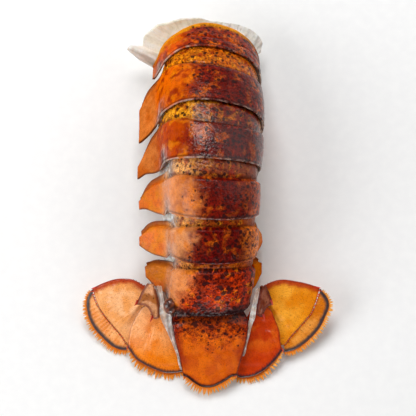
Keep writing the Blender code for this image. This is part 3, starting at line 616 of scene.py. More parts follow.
def rear_margin_tint(index, u, point, to_rear, off_flank, tint):
    """Dark line and broken pale lip along the rear margin, the pale lip partly a painted highlight of the wet
    edge; ragged on the last segment.
    """
    broken = ease(-0.5, 0.3, wave_noise(point, 2.6, 2, 44))
    # Pale lip of the first four segments: its own grey with a painted highlight of the wet edge.
    lip = ease(0.65, 0.30, to_rear) * off_flank * broken
    lip *= 1 - 0.6 * bump_at(u, 0.05, 0.25)
    tint = layered(tint, (DARK, 0.65 * bump_at(to_rear, 0.9, 0.38) * off_flank),
                   (LIP_GREY if index < 4 else RUST, (0.8 if index < 3 else 0.5) * lip))
    if index < 5:
        return tint
    ragged = wave_noise(point, 1.3, 3, 52)
    return layered(
        tint,
        (DEEP_RED, 0.85 * ease(4.5, 1.5, to_rear + ragged) * off_flank),
        (DARK, 0.9 * ease(2.6, 0.8, to_rear + 1.5 * ragged) * off_flank),
        (srgb("#8A8C90"), 0.55 * ease(1.6, 0.4, to_rear) * ease(0.15, 0.45, ragged)),
    )


# How wet the left flank, the back and the right flank of each segment are.
WETNESS = [(0.05, 0.3, 0.35), (0.0, 0.4, 0.5), (0.05, 0.75, 0.5),
           (1.1, 0.5, 0.2), (1.3, 0.35, 0.1), (1.2, 0.25, 0.0)]


def wetness(index, u, point):
    """Share of the wet coat: gloss greys the colour, so matte parts of the photo stay low."""
    left, back, right = WETNESS[index]
    v = u + 0.08 * wave_noise(point, 5.0, 2, 77)
    start, end = (-0.48, -0.12) if index < 3 else (-0.62, -0.34)
    wet = left + (back - left) * ease(start, end, v) + (right - back) * ease(0.34, 0.6, v)
    if index > 2:
        wet *= 1 - 0.65 * ease(-0.70, -0.76, u)
    return wet


def grid_rows(groove_share_rows, main_rows):
    """Row parameters: below 1 in front of the groove, 1 to 2 behind it."""
    front = [i / groove_share_rows for i in range(groove_share_rows)]
    eased = [i / main_rows for i in range(main_rows + 1)]
    return front + [1 + (0.5 * t + 0.5 * (1 - math.cos(math.pi * t)) / 2) for t in eased]


def rounded_skin(s, u, lift):
    """The body's surface with its fold at the hinge line rounded off."""
    if not 0.56 < abs(u) < 0.80:
        return skin(s, u, lift)
    reach = 0.030 * bump_at(abs(u), HINGE_U, 0.06)
    places = [skin(s, u + step * reach, lift) for step in (-2, -1, 0, 1, 2)]
    return sum(places, Vector()) / len(places)


def detail_segment(index, material):
    """One shell segment in fine detail, with its band, groove and rear margin."""
    tip = SEGMENTS[index]["tip"]
    points = []
    for row in grid_rows(BAND_ROWS, MAIN_ROWS):
        line = []
        for column in range(SHELL_COLUMNS + 1):
            u = (1 - 2 * column / SHELL_COLUMNS) * tip
            front, groove, rear = segment_margins(index, u)
            if index == 0:
                front += 1.7 * bump_at(u, -0.38, 0.17)
            s = front + (groove - front) * row if row < 1 else groove + (rear - groove) * (row - 1)
            behind, to_rear, from_front = s - groove, rear - s, s - front
            smooth = skin(s, u)
            lift = shell_lift(index, u, behind, max(row - 1, 0.0), to_rear, from_front)
            lift += 0.13 * wave_noise(smooth, 7.0, 2, 70) + 0.04 * wave_noise(smooth, 1.8, 2, 90) - 0.06
            if index == 5:
                ragged = 0.40 * wave_noise(smooth, 1.3, 3, 52)
                lift += ragged * ease(3.0, 1.0, to_rear) * (1 - ease(0.6, 0.8, abs(u)))
            tint, spots = shell_tint(index, u, smooth, behind, to_rear, from_front)
            wet = wetness(index, u, smooth)
            if index > 2:
                wet *= 1 - 0.85 * bump_at(behind, 0.2, 1.4)
            line.append((rounded_skin(s, u, lift), tint, spots, wet))
        points.append(line)
    name = f"segment_{index + 1}_shell"
    return detail_sheet(name, points, material, SHELL_THICKNESS, lowest=FOOT_HEIGHT)


# Meshes

def mesh_object(name, vertices, faces, material):
    """New object in the scene, with one material."""
    mesh = bpy.data.meshes.new(name)
    mesh.from_pydata(vertices, [], faces)
    mesh.materials.append(material)
    obj = bpy.data.objects.new(name, mesh)
    bpy.context.scene.collection.objects.link(obj)
    return obj


def store_tints(mesh, tints):
    mesh.color_attributes["tint"].data.foreach_set("color", [c for tint in tints for c in (*tint, 1.0)])


def sheet_rows(grid, entry_at):
    """Rows of a sheet: entry_at(i, j) for each column i and row j of the grid."""
    columns, rows = grid
    return [[entry_at(i, j) for i in range(columns + 1)] for j in range(rows + 1)]


def detail_sheet(name, points, material, thickness, flip=False, lowest=0.0):
    """Thin solid from rows of (place, tint, spots, wetness)."""
    columns = len(points[0])
    flat = [entry for line in points for entry in line]
    vertices = [settle(entry[0]) for entry in flat]
    for vertex in vertices:
        vertex.z = max(vertex.z, lowest * MM)
    faces = []
    for row in range(len(points) - 1):
        for column in range(columns - 1):
            a = row * columns + column
            face = (a, a + 1, a + columns + 1, a + columns)
            faces.append(face[::-1] if flip else face)
    obj = mesh_object(name, vertices, faces, material)
    mesh = obj.data
    mesh.shade_smooth()
    mesh.color_attributes.new("tint", "FLOAT_COLOR", "POINT")
    mesh.attributes.new("spots", "FLOAT", "POINT")
    mesh.attributes.new("wet", "FLOAT", "POINT")
    store_tints(mesh, [entry[1] for entry in flat])
    mesh.attributes["spots"].data.foreach_set("value", [entry[2] for entry in flat])
    mesh.attributes["wet"].data.foreach_set("value", [entry[3] for entry in flat])
    wall = obj.modifiers.new("wall", "SOLIDIFY")
    wall.thickness = thickness * MM
    wall.offset = -1.0
    return obj


def face_up(obj):
    """Turns a sheet over where its faces look down."""
    normal = sum((p.normal * p.area for p in obj.data.polygons), Vector())
    if normal.z < 0:
        obj.data.flip_normals()
    return obj


def put(piece, slot, *nodes):
    """Mounts a finished piece on the tail in place of the stored solids it stands for."""
    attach(piece, "root")
    if nodes:
        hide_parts(*nodes)
    return piece


# Tail fan in fine detail

def patch_grid(edges, columns, rows):
    """Rows of (u, v, x, y) over a patch between four edges: base at v = 0, end at v = 1."""
    inner, outer, base, end = edges
    shares = [i / columns for i in range(columns + 1)]
    across = [(curve_point(base, u), curve_point(end, u)) for u in shares]
    sides = [(curve_point(inner, j / rows), curve_point(outer, j / rows)) for j in range(rows + 1)]
    corners = (inner[0], outer[0], inner[-1], outer[-1])
    grid = []
    for j, (a, b) in enumerate(sides):
        v = j / rows
        line = []
        for i, (c, d) in enumerate(across):
            u = i / columns
            weights = ((1 - u) * (1 - v), u * (1 - v), (1 - u) * v, u * v)
            place = []
            for axis in range(2):
                value = (1 - u) * a[axis] + u * b[axis] + (1 - v) * c[axis] + v * d[axis]
                place.append(value - sum(w * p[axis] for w, p in zip(weights, corners)))
            line.append((u, v, *place))
        grid.append(line)
    return grid


def patch_piece(name, edges, grid, entry_at, material, thickness):
    """Sheet over a patch between four edges, with its entries from entry_at(u, v, x, y)."""
    points = [[entry_at(*place) for place in line] for line in patch_grid(edges, *grid)]
    return face_up(detail_sheet(name, points, material, thickness))


def nearest(point, samples):
    return math.sqrt(min((point[0] - x) ** 2 + (point[1] - y) ** 2 for x, y in samples))


def samples_of(curve):
    return [curve_point(curve, i / CURVE_SAMPLES) for i in range(CURVE_SAMPLES + 1)]


def blade_piece(name, edges, layer, material, style):
    """A fan blade: ribs that spread from its base, a beaded margin and a dark rim."""
    _, outer, base, end = edges
    rim = samples_of(end)
    front = samples_of(outer)
    root = Vector(((base[0][0] + base[-1][0]) / 2, (base[0][1] + base[-1][1]) / 2, 0.0))

    def entry_at(u, v, x, y):
        crown = style["bulge"] * math.sin(math.pi * u) * math.sin(math.pi * min(v, 0.9) / 0.9 * 0.5)
        z = blade_height(x, y) - layer + crown
        place = Vector((x, y, z))
        to_rim = nearest((x, y), rim)
        to_front = nearest((x, y), front)
        angle = math.atan2(y - root.y, abs(x - root.x))
        reach = (Vector((x, y, 0.0)) - root).length
        z += rib_relief(angle, reach, min(to_rim, to_front), style)
        tint, spots = blade_tint(place, to_rim, to_front, angle, reach, style)
        return Vector((x, y, z)), tint, spots, style["wet"]

    return patch_piece(name, edges, BLADE_GRID, entry_at, material, BLADE_THICKNESS)


def rib_wave(angle, reach):
    """Ribs that spread from the base of a blade, -1 to 1."""
    return math.sin(angle * 58.0 + 0.6 * math.sin(reach * 0.7))


def rib_relief(angle, reach, edge, style):
    """Fine spreading ribs, one raised middle rib and a bead along the margin."""
    ribs = 0.035 * rib_wave(angle, reach) * ease(4.0, 14.0, reach)
    rib_angle = style["rib_angle"]
    middle = style["rib"] * bump_at(angle, rib_angle, 0.10) * ease(30.0, 8.0, reach) * ease(1, 4, reach)
    dent = -0.45 * bump_at(angle, rib_angle - 0.22, 0.12) * bump_at(reach, 14.0, 6.0)
    bead = 0.14 * bump_at(edge, 0.9, 0.5) - 0.30 * ease(0.4, 0.0, edge)
    ripple = 0.10 * math.sin(reach * 1.3 + 2.0 * math.sin(3.0 * angle)) * bump_at(edge, 4.0, 4.0)
    return ribs + middle + dent + bead + ripple * style["ripple"]


def blade_tint(place, to_rim, to_front, angle, reach, style):
    """Orange web with painted pale sheen, a dark rim and, on an outer blade, a red-brown front edge."""
    web, deep, glow = style["web"], style["web_deep"], style["glow"]
    cloud = wave_noise(place, 7.0, 3, style["seed"])
    wobble = 0.25 * wave_noise(place, 1.6, 2, 9)
    tint = layered(
        mix(web, deep, ease(-0.35, 0.45, cloud)),
        # Painted sheen: pale patches near the front edge, in the share set by the style's pale value, and round
        # the middle of the blade.
        (glow, style["pale"] * ease(11.0, 2.0, to_front + 2 * cloud) * ease(24.0, 12.0, reach)),
        (glow, 0.6 * bump_at(reach, 12.0, 7.0) * ease(0.4, -0.4, cloud)),
        (deep, style["vein"] * ease(0.55, 0.95, rib_wave(angle, reach))),
    )
    band = style["front_rim"]
    if band:
        tint = layered(tint, (FRONT_RED, 0.95 * ease(band + 1.2, band - 0.8, to_front + 2 * wobble)),
                       (RED, 0.7 * ease(0.9, 0.3, to_front)))
    else:
        tint = mix(tint, DEEP_RED, 0.40 * ease(0.7, 0.2, to_front + wobble))
    band = style["dark_rim"]
    if band:
        comb = 0.25 * math.sin(angle * 150.0) * bump_at(to_rim, band + 0.6, 0.8)
        tint = layered(tint, (deep, 0.5 * ease(band + 2.6, band + 0.6, to_rim + wobble)),
                       (style["rim"], 0.96 * ease(band + 0.9, band - 0.5, to_rim + wobble + comb)),
                       (ORANGE, 0.6 * ease(0.35, 0.1, to_rim)))
    else:
        tint = mix(tint, DEEP_RED, 0.35 * ease(0.7, 0.2, to_rim + wobble))
    return tint, style["spots"] * ease(9.0, 1.0, min(to_rim, to_front))


FRONT_RED = srgb("#B83A0E")
INK = srgb("#20242C")


def looks(base, **values):
    """Looks of a piece: those of the base with some changed; hex codes become colours."""
    own = {key: srgb(value) if isinstance(value, str) else value for key, value in values.items()}
    return {**base, **own}


# The left outer blade's web, paler and pinker than the right one's, is partly painted sheen from the lamp on the
# left; pale sets the share of painted sheen near the front edge.
EXOPOD_LEFT = looks(
    {"rim": DARK}, web="#F4A862", web_deep="#F09E54", glow="#FCC494", front_rim=2.0, dark_rim=0.0,
    spots=0.22, bulge=0.5, rib=0.35, rib_angle=-0.75, ripple=1.0, seed=1, wet=0.8, pale=0.0, vein=0.25)
EXOPOD_RIGHT = looks(
    EXOPOD_LEFT, web="#F09410", web_deep="#E68409", glow="#FFB640", front_rim=2.2, seed=2, wet=0.6)
ENDOPOD_LEFT = looks(
    {"rim": INK}, web="#F48406", web_deep="#EA7604", glow="#FCB478", front_rim=0.0, dark_rim=1.1,
    spots=0.10, bulge=0.8, rib=0.10, rib_angle=-1.0, ripple=1.6, seed=3, wet=0.9, pale=0.9, vein=0.12)
ENDOPOD_RIGHT = looks(
    ENDOPOD_LEFT, web="#CC3C04", web_deep="#BE3604", glow="#E87818", seed=4, wet=0.5, pale=0.0)
# The left flap's paler web is likewise partly painted sheen.
FLAP_LEFT = looks(
    EXOPOD_LEFT, web="#FAB068", web_deep="#E88A3C", rim="#2E343C", vein=0.08, dark_rim=1.35,
    front_rim=0.0, seed=5)
FLAP_RIGHT = looks(FLAP_LEFT, web="#EC940C", web_deep="#D87406", seed=6)
# The left base's pale pinkish main colour is partly painted sheen.
LEFT_BASE = looks({}, main="#DC9C6C", deep="#A8622C", edge="#6A1A08", seed=33)
RIGHT_BASE = looks({}, main="#8E5038", deep="#6A2A12", edge="#5A1008", seed=34)


def flap_piece(name, suture, rim, material, style):
    """Outer flap of an outer blade, from its cross joint to its rim."""
    columns, rows = FLAP_GRID
    rim_samples = samples_of(rim)

    def entry_at(i, j):
        sx, sy = curve_point(suture, i / columns)
        rx, ry = curve_point(rim, i / columns)
        width = math.hypot(rx - sx, ry - sy)
        start = min(JOINT_GAP / width, 0.5)
        share = start + (1 - start) * j / rows
        x, y = sx + (rx - sx) * share, sy + (ry - sy) * share
        to_rim = nearest((x, y), rim_samples)
        to_suture = share * width
        z = blade_height(x, y) - EXOPOD_LAYER
        z += 0.05 * math.sin(i * 0.95) * ease(0.2, 1.5, to_rim) + 0.1 * bump_at(to_rim, 0.9, 0.5)
        z -= 0.30 * ease(0.4, 0.0, min(to_rim, to_suture))
        tint, spots = blade_tint(Vector((x, y, z)), to_rim, to_suture, i / columns * 3, 20.0, style)
        return Vector((x, y, z)), tint, spots, style["wet"]

    return face_up(detail_sheet(name, sheet_rows(FLAP_GRID, entry_at), material, BLADE_THICKNESS))


def telson_piece(material):
    """Middle blade: two shallow lengthwise furrows, beaded sides and a tucked front."""
    inner, outer, _, end = TELSON
    rim = samples_of(end)
    sides = samples_of(inner) + samples_of(outer)

    def entry_at(u, v, x, y):
        z = telson_height(x, y)
        place = Vector((x, y, z))
        to_rim = nearest((x, y), rim)
        to_side = nearest((x, y), sides)
        z += 0.22 * bump_at(to_side, 0.8, 0.6) - 0.25 * ease(0.4, 0.0, min(to_side, to_rim))
        z -= 0.35 * bump_at(abs(u - 0.5), 0.17, 0.06) * bump_at(v, 0.45, 0.35)
        z += 0.12 * wave_noise(place, 6.0, 2, 60) + 0.08 * bump_at(to_rim, 0.9, 0.5)
        z -= 1.1 * ease(0.07, 0.0, v)
        tint, spots = telson_tint(place, u, v, to_rim, to_side)
        return Vector((x, y, z)), tint, spots, TELSON_WETNESS

    return patch_piece("telson_shell", TELSON, TELSON_GRID, entry_at, material, TELSON_THICKNESS)


def telson_tint(place, u, v, to_rim, to_side):
    """Orange with a dark red front, red sides and a dark rim."""
    cloud = wave_noise(place, 6.0, 3, 61)
    ragged = wave_noise(place, 1.6, 3, 63)
    wobble = 0.2 * wave_noise(place, 1.4, 2, 62)
    end_zone = ease(0.80, 0.92, v)
    side = ease(0.20, 0.03, min(u, 1 - u) + 0.05 * cloud) * ease(0.95, 0.7, v)
    tint = layered(
        cloudy_mix("#C85206", "#DA6406", -0.3, 0.4, cloud),
        (srgb("#8E2A02"), 0.85 * ease(0.55, 0.10, v + 0.12 * cloud)),
        (RED, 0.75 * side),
        (DARK, 0.85 * ease(0.16, 0.05, v + 0.05 * ragged)),
        (DEEP_RED, 0.7 * ease(0.9, 0.2, to_side)),
        (RED, 0.45 * end_zone * ease(2.2, 0.8, to_rim + wobble)),
        (DARK, 0.96 * end_zone * ease(1.6, 0.7, to_rim + wobble)),
    )
    return tint, 0.9 * ease(0.72, 0.12, v + 0.1 * cloud) + 0.16


# Bristles, spines and small teeth

TABLE_CLEARANCE = 0.25
CONE_SIDES = 3
CONE_WAIST = 0.75
HAIRS_PER_CLUMP = 44


def cone_mesh(name, cones, material):
    """One mesh of thin cones: (foot, tip, foot radius, foot colour, tip colour)."""
    vertices, faces, tints = [], [], []
    for foot, tip, radius, foot_tint, tip_tint in cones:
        axis = (tip - foot).normalized()
        side = axis.orthogonal().normalized()
        other = axis.cross(side)
        start = len(vertices)
        waist = (foot.lerp(tip, 0.5), radius * CONE_WAIST, mix(foot_tint, tip_tint, 0.5))
        for centre, size, tint in ((foot, radius, foot_tint), waist):
            for k in range(CONE_SIDES):
                turn = 2 * math.pi * k / CONE_SIDES
                vertices.append(settle(centre + (side * math.cos(turn) + other * math.sin(turn)) * size))
                tints.append(tint)
        vertices.append(settle(tip))
        tints.append(tip_tint)
        faces.append((start + 2, start + 1, start))
        for k in range(CONE_SIDES):
            n = (k + 1) % CONE_SIDES
            faces.append((start + k, start + n, start + 3 + n, start + 3 + k))
            faces.append((start + 3 + k, start + 3 + n, start + 6))
    obj = mesh_object(name, vertices, faces, material)
    obj.data.color_attributes.new("tint", "FLOAT_COLOR", "POINT")
    store_tints(obj.data, tints)
    return obj


def rim_frame(rim, t, outward):
    """Place on a rim, the direction along it and the direction out of it."""
    x, y = curve_point(rim, t)
    x0, y0 = curve_point(rim, max(t - 0.02, 0.0))
    x1, y1 = curve_point(rim, min(t + 0.02, 1.0))
    length = math.hypot(x1 - x0, y1 - y0)
    along_rim = Vector(((x1 - x0) / length, (y1 - y0) / length, 0.0))
    out = Vector((outward * along_rim.y, -outward * along_rim.x, 0.0))
    return Vector((x, y, 0.0)), along_rim, out


def lift_to_table(*places):
    """Raises laid-out places so that they settle just above the table."""
    for place in places:
        place.z += max(TABLE_CLEARANCE - settle(place).z / MM, 0.0)


def fringe_piece(name, rim, outward, reach, height_at, material, clumps, seed):
    """Bristles in pointed clumps that stand out from under a rim."""
    dice = random.Random(seed)
    root_tint, tip_tint = srgb("#F28206"), srgb("#FFB426")
    cones = []
    position = 0.0
    while position < 1.0:
        clump_width = dice.uniform(0.6, 1.5) / clumps
        centre = position + clump_width / 2
        length = along(reach, min(centre, 1.0)) * dice.uniform(0.66, 0.915)
        lean = dice.uniform(-0.25, 0.25)
        count = int(HAIRS_PER_CLUMP * clump_width * clumps) + 8
        for k in range(count):
            t = position + clump_width * (k + dice.uniform(0.1, 0.9)) / count
            if not 0.0 <= t <= 1.0:
                continue
            foot, along_rim, out = rim_frame(rim, t, outward)
            inward = 1 - abs(2 * (t - position) / clump_width - 1)
            own = length * (0.62 + 0.38 * inward ** 0.8) * dice.uniform(0.85, 1.02)
            pull = (centre - t) * dice.uniform(40, 62)
            tip = foot + out * (own + 0.1) + along_rim * (lean * own + pull * 0.35)
            rise = math.tan(REST_PITCH) * max(-(tip - foot).y, 0.0)
            base_z = height_at(foot.x, foot.y) - 0.55
            foot = foot - out * 0.35
            foot.z = base_z + dice.uniform(-0.15, 0.1)
            tip.z = base_z + rise + dice.uniform(-0.15, 0.25)
            lift_to_table(foot, tip)
            pale = mix(tip_tint, srgb("#F6D890"), dice.uniform(0.0, 0.4))
            radius = dice.uniform(0.17, 0.29)
            cones.append((foot, tip, radius, mix(root_tint, RED, dice.uniform(0, 0.25)), pale))
        position += clump_width
    return cone_mesh(name, cones, material)


def suture_teeth(name, suture, outward, material, seed):
    """Small red teeth along the cross joint of an outer blade."""
    dice = random.Random(seed)
    cones = []
    t = 0.05
    while t < 0.97:
        place, along_rim, out = rim_frame(suture, t, outward)
        z = blade_height(place.x, place.y) - EXOPOD_LAYER + 0.10
        foot = place - out * 0.6
        tip = place + out * dice.uniform(0.7, 1.2) + along_rim * dice.uniform(-0.4, 0.4)
        foot.z, tip.z = z - 0.05, z + 0.25
        red = mix(srgb("#D83010"), srgb("#A01808"), dice.random())
        cones.append((foot, tip, dice.uniform(0.30, 0.42), red, mix(red, ORANGE, 0.3)))
        t += dice.uniform(0.030, 0.055)
    return cone_mesh(name, cones, material)


def photo_place(px, py, z):
    """Laid-out place from its position in the camera's view."""
    middle_x, middle_y = PHOTO_MIDDLE
    return Vector(((px - middle_x) * PIXEL, (middle_y - py) * PIXEL, z))


# Hooked points: (foot, tip) in the camera's view, radius and height over the blade.
RIM_SPINES = (
    ((96, 288), (89.5, 289.2), 0.55, -2.0), ((315.5, 287.3), (322.6, 288.2), 0.55, -2.0),
    ((128, 346), (125.0, 351.0), 0.5, 0.0), ((282, 349), (285.0, 354.0), 0.5, 0.0),
    ((137, 300), (134.0, 306.5), 0.7, 2.4), ((152, 316), (149.5, 323.0), 0.7, 2.4),
    ((271, 300), (273.5, 306.0), 0.7, 2.4), ((263, 314), (265.5, 320.5), 0.7, 2.4),
)
TELSON_SPINES = (((186, 376), (183.0, 381.5)), ((234, 374), (236.5, 379.5)))


def spines_piece(material):
    """Hooked points at the blade corners, the telson corners and the leg bases."""
    root_tint, tip_tint = srgb("#B01C08"), srgb("#D8381C")
    spines = []
    for foot, tip, radius, layer in RIM_SPINES:
        foot = photo_place(*foot, 0.0)
        z = blade_height(foot.x, foot.y) + layer
        foot.z = z - 0.3
        spines.append((foot, photo_place(*tip, z - 0.2), radius, root_tint, tip_tint))
    for foot, tip in TELSON_SPINES:
        foot = photo_place(*foot, 0.0)
        z = telson_height(foot.x, foot.y)
        foot.z = z - 0.6
        spines.append((foot, photo_place(*tip, z - 0.5), 0.5, root_tint, tip_tint))
    return cone_mesh("rim_spines", spines, material)


# Materials

class Nodes:
    """Short way to add and join shader nodes."""

    def __init__(self, name):
        self.material = bpy.data.materials.new(name)
        self.material.use_nodes = True
        self.tree = self.material.node_tree
        self.shader = self.tree.nodes["Principled BSDF"]

    def add(self, kind, **values):
        node = self.tree.nodes.new(kind)
        for key, value in values.items():
            setattr(node, key, value)
        return node

    def join(self, out_socket, in_socket):
        self.tree.links.new(out_socket, in_socket)

    def place(self, scale=(1.0, 1.0, 1.0)):
        source = self.add("ShaderNodeTexCoord")
        mapping = self.add("ShaderNodeMapping")
        mapping.inputs["Scale"].default_value = scale
        self.join(source.outputs["Object"], mapping.inputs["Vector"])
        return mapping.outputs["Vector"]

    def attribute(self, name, output="Fac"):
        return self.add("ShaderNodeAttribute", attribute_name=name).outputs[output]

    def noise(self, where, size, detail=3.0, roughness=0.55):
        node = self.add("ShaderNodeTexNoise")
        node.inputs["Scale"].default_value = 1.0 / size
        node.inputs["Detail"].default_value = detail
        node.inputs["Roughness"].default_value = roughness
        self.join(where, node.inputs["Vector"])
        return node.outputs["Fac"]

    def cells(self, where, size):
        node = self.add("ShaderNodeTexVoronoi")
        node.inputs["Scale"].default_value = 1.0 / size
        self.join(where, node.inputs["Vector"])
        return node

    def math(self, operation, a, b, clamp=False):
        node = self.add("ShaderNodeMath", operation=operation, use_clamp=clamp)
        for socket, value in zip(node.inputs, (a, b)):
            if isinstance(value, (int, float)):
                socket.default_value = value
            else:
                self.join(value, socket)
        return node.outputs[0]

    def spread(self, value, low, high, to_low=0.0, to_high=1.0):
        node = self.add("ShaderNodeMapRange", interpolation_type="SMOOTHSTEP")
        self.join(value, node.inputs["Value"])
        for end, from_end, to_end in (("Min", low, to_low), ("Max", high, to_high)):
            node.inputs[f"From {end}"].default_value = from_end
            node.inputs[f"To {end}"].default_value = to_end
        return node.outputs["Result"]

    def blend(self, share, a, b, blend_type="MIX"):
        node = self.add("ShaderNodeMix", data_type="RGBA", blend_type=blend_type)
        sockets = {s.identifier: s for s in node.inputs}
        for key, value in (("Factor_Float", share), ("A_Color", a), ("B_Color", b)):
            if isinstance(value, (int, float)):
                sockets[key].default_value = value
            elif isinstance(value, tuple):
                sockets[key].default_value = (*value, 1.0)
            else:
                self.join(value, sockets[key])
        return {s.identifier: s for s in node.outputs}["Result_Color"]

    def stain(self, share, colour, factor):
        return self.blend(share, colour, factor, "MULTIPLY")

    def bump(self, height, distance, strength=1.0, below=None):
        node = self.add("ShaderNodeBump")
        node.inputs["Strength"].default_value = strength
        node.inputs["Distance"].default_value = distance
        self.join(height, node.inputs["Height"])
        if below:
            self.join(below, node.inputs["Normal"])
        return node.outputs["Normal"]

    def finish(self, colour, roughness, normal, **values):
        self.join(colour, self.shader.inputs["Base Color"])
        if isinstance(roughness, float):
            self.shader.inputs["Roughness"].default_value = roughness
        else:
            self.join(roughness, self.shader.inputs["Roughness"])
        self.join(normal, self.shader.inputs["Normal"])
        for key, value in values.items():
            self.shader.inputs[key.replace("_", " ")].default_value = value
        return self.material


def round_spots(nodes, where, size, share, rarest, strength):
    """Mask of round dark spots whose size and number grow with the share."""
    cell = nodes.cells(where, size)
    split = nodes.add("ShaderNodeSeparateColor")
    nodes.join(cell.outputs["Color"], split.inputs["Color"])
    chosen = nodes.spread(split.outputs["Red"], rarest, rarest + 0.35)
    radius = nodes.math("MULTIPLY", nodes.math("MULTIPLY", share, chosen), 0.47)
    inside = nodes.math("SUBTRACT", radius, cell.outputs["Distance"])
    return nodes.math("MULTIPLY", nodes.spread(inside, -0.07, 0.07), strength)


def warped_place(nodes, where, size, amount):
    """Place shifted by noise, which makes the spots uneven."""
    push = nodes.add("ShaderNodeTexNoise")
    push.inputs["Scale"].default_value = 1.0 / size
    nodes.join(where, push.inputs["Vector"])
    small = nodes.add("ShaderNodeVectorMath", operation="SCALE")
    small.inputs["Scale"].default_value = amount
    nodes.join(push.outputs["Color"], small.inputs[0])
    moved = nodes.add("ShaderNodeVectorMath", operation="ADD")
    nodes.join(where, moved.inputs[0])
    nodes.join(small.outputs[0], moved.inputs[1])
    return moved.outputs[0]


def shell_material(name, pit_depth, roughness, coat, coat_roughness, spot_size, cloud_share):
    """Wet pitted shell, tinted by the mesh, with mottling, speckle and dark spots."""
    nodes = Nodes(name)
    where = nodes.place()
    share = nodes.attribute("spots")
    cloudy = nodes.noise(where, 2.2 * MM, 4.0)
    speckle = nodes.noise(where, 0.45 * MM, 3.0, 0.65)
    mottle = nodes.noise(where, 1.3 * MM, 5.0, 0.7)
    on_back = nodes.spread(share, 0.2, 0.8, 0.0, 0.85)
    dark_parts = nodes.math("MULTIPLY", nodes.spread(mottle, 0.52, 0.59), on_back)
    light_parts = nodes.math("MULTIPLY", nodes.spread(mottle, 0.46, 0.36), on_back)
    colour = nodes.attribute("tint", "Color")
    colour = nodes.stain(nodes.spread(cloudy, 0.38, 0.68, 0.0, cloud_share), colour, (0.55, 0.38, 0.34))
    colour = nodes.stain(nodes.spread(speckle, 0.50, 0.68, 0.0, 0.60), colour, (0.42, 0.24, 0.20))
    colour = nodes.stain(dark_parts, colour, (0.30, 0.11, 0.09))
    colour = nodes.stain(light_parts, colour, (1.75, 1.55, 1.1))
    spots_at = warped_place(nodes, where, 2.0 * MM, 1.9 * MM)
    large = round_spots(nodes, spots_at, spot_size, share, 0.05, 0.88)
    fine = round_spots(nodes, spots_at, 0.42 * spot_size, share, 0.20, 0.7)
    marks = nodes.math("MAXIMUM", large, fine, clamp=True)
    colour = nodes.blend(marks, colour, srgb("#26090A"))

    pits = nodes.cells(where, 1.1 * MM).outputs["Distance"]
    grain = nodes.noise(where, 0.6 * MM, 2.0)
    height = nodes.math("ADD", nodes.math("MULTIPLY", pits, 0.6), nodes.math("MULTIPLY", grain, 0.5))
    swell = nodes.bump(nodes.noise(where, 2.4 * MM, 2.0), 0.10 * MM, 0.6)
    normal = nodes.bump(height, pit_depth * MM, 0.8, swell)
    patches = nodes.noise(where, 3.0 * MM, 3.0)
    gloss = nodes.spread(patches, 0.35, 0.7, roughness - 0.05, roughness + 0.10)
    material = nodes.finish(colour, gloss, normal, Coat_Roughness=coat_roughness, IOR=1.32)
    wet = nodes.attribute("wet")
    sockets = nodes.shader.inputs
    nodes.join(nodes.math("MULTIPLY", wet, coat), sockets["Coat Weight"])
    nodes.join(nodes.math("MULTIPLY", wet, 0.5), sockets["Specular IOR Level"])
    nodes.join(nodes.bump(height, 1.5 * pit_depth * MM, 1.0, swell), sockets["Coat Normal"])
    return material


def soft_material(name, grain_scale, grain_depth, roughness, coat, subsurface, dark, dark_share):
    """Wet flesh or skin, tinted by the mesh, with a drawn-out grain."""
    nodes = Nodes(name)
    where = nodes.place()
    drawn = nodes.place(grain_scale)
    cloudy = nodes.noise(where, 3.0 * MM, 4.0)
    fibres = nodes.noise(drawn, 1.0 * MM, 4.0, 0.6)
    colour = nodes.attribute("tint", "Color")
    colour = nodes.stain(nodes.spread(cloudy, 0.42, 0.70, 0.0, dark_share), colour, dark)
    colour = nodes.stain(nodes.spread(fibres, 0.50, 0.72, 0.0, dark_share), colour, dark)
    lumps = nodes.bump(cloudy, 0.5 * MM, 0.6)
    normal = nodes.bump(fibres, grain_depth * MM, 0.9, lumps)
    gloss = nodes.spread(fibres, 0.35, 0.7, roughness - 0.06, roughness + 0.12)
    material = nodes.finish(colour, gloss, normal, Coat_Weight=coat, Coat_Roughness=0.15,
                            IOR=1.42, Subsurface_Weight=subsurface)
    nodes.shader.inputs["Subsurface Radius"].default_value = (0.0030, 0.0018, 0.0012)
    nodes.shader.inputs["Subsurface Scale"].default_value = 1.0
    return material


def plain_tinted(name, roughness, grain, coat=0.0):
    """Dry horn, tinted by the mesh, with a faint grain."""
    nodes = Nodes(name)
    grains = nodes.noise(nodes.place(), grain * MM, 3.0)
    tint = nodes.attribute("tint", "Color")
    colour = nodes.stain(nodes.spread(grains, 0.4, 0.7, 0.0, 0.35), tint, (0.6, 0.5, 0.42))
    normal = nodes.bump(grains, 0.05 * MM, 0.6)
    return nodes.finish(colour, roughness, normal, Coat_Weight=coat, Coat_Roughness=0.2)


# Leg bases, joint skins and the cut end

# The knob's half sizes, and its place on the skin as (s, u, lift).
KNOB = Vector((2.7, 3.4, 2.4))
KNOB_PLACE = (STATIONS[6] - 3.4, -0.47, 1.1)
SIDES = ((-1, "left"), (1, "right"))
MEAT_MIDDLE = 4.0


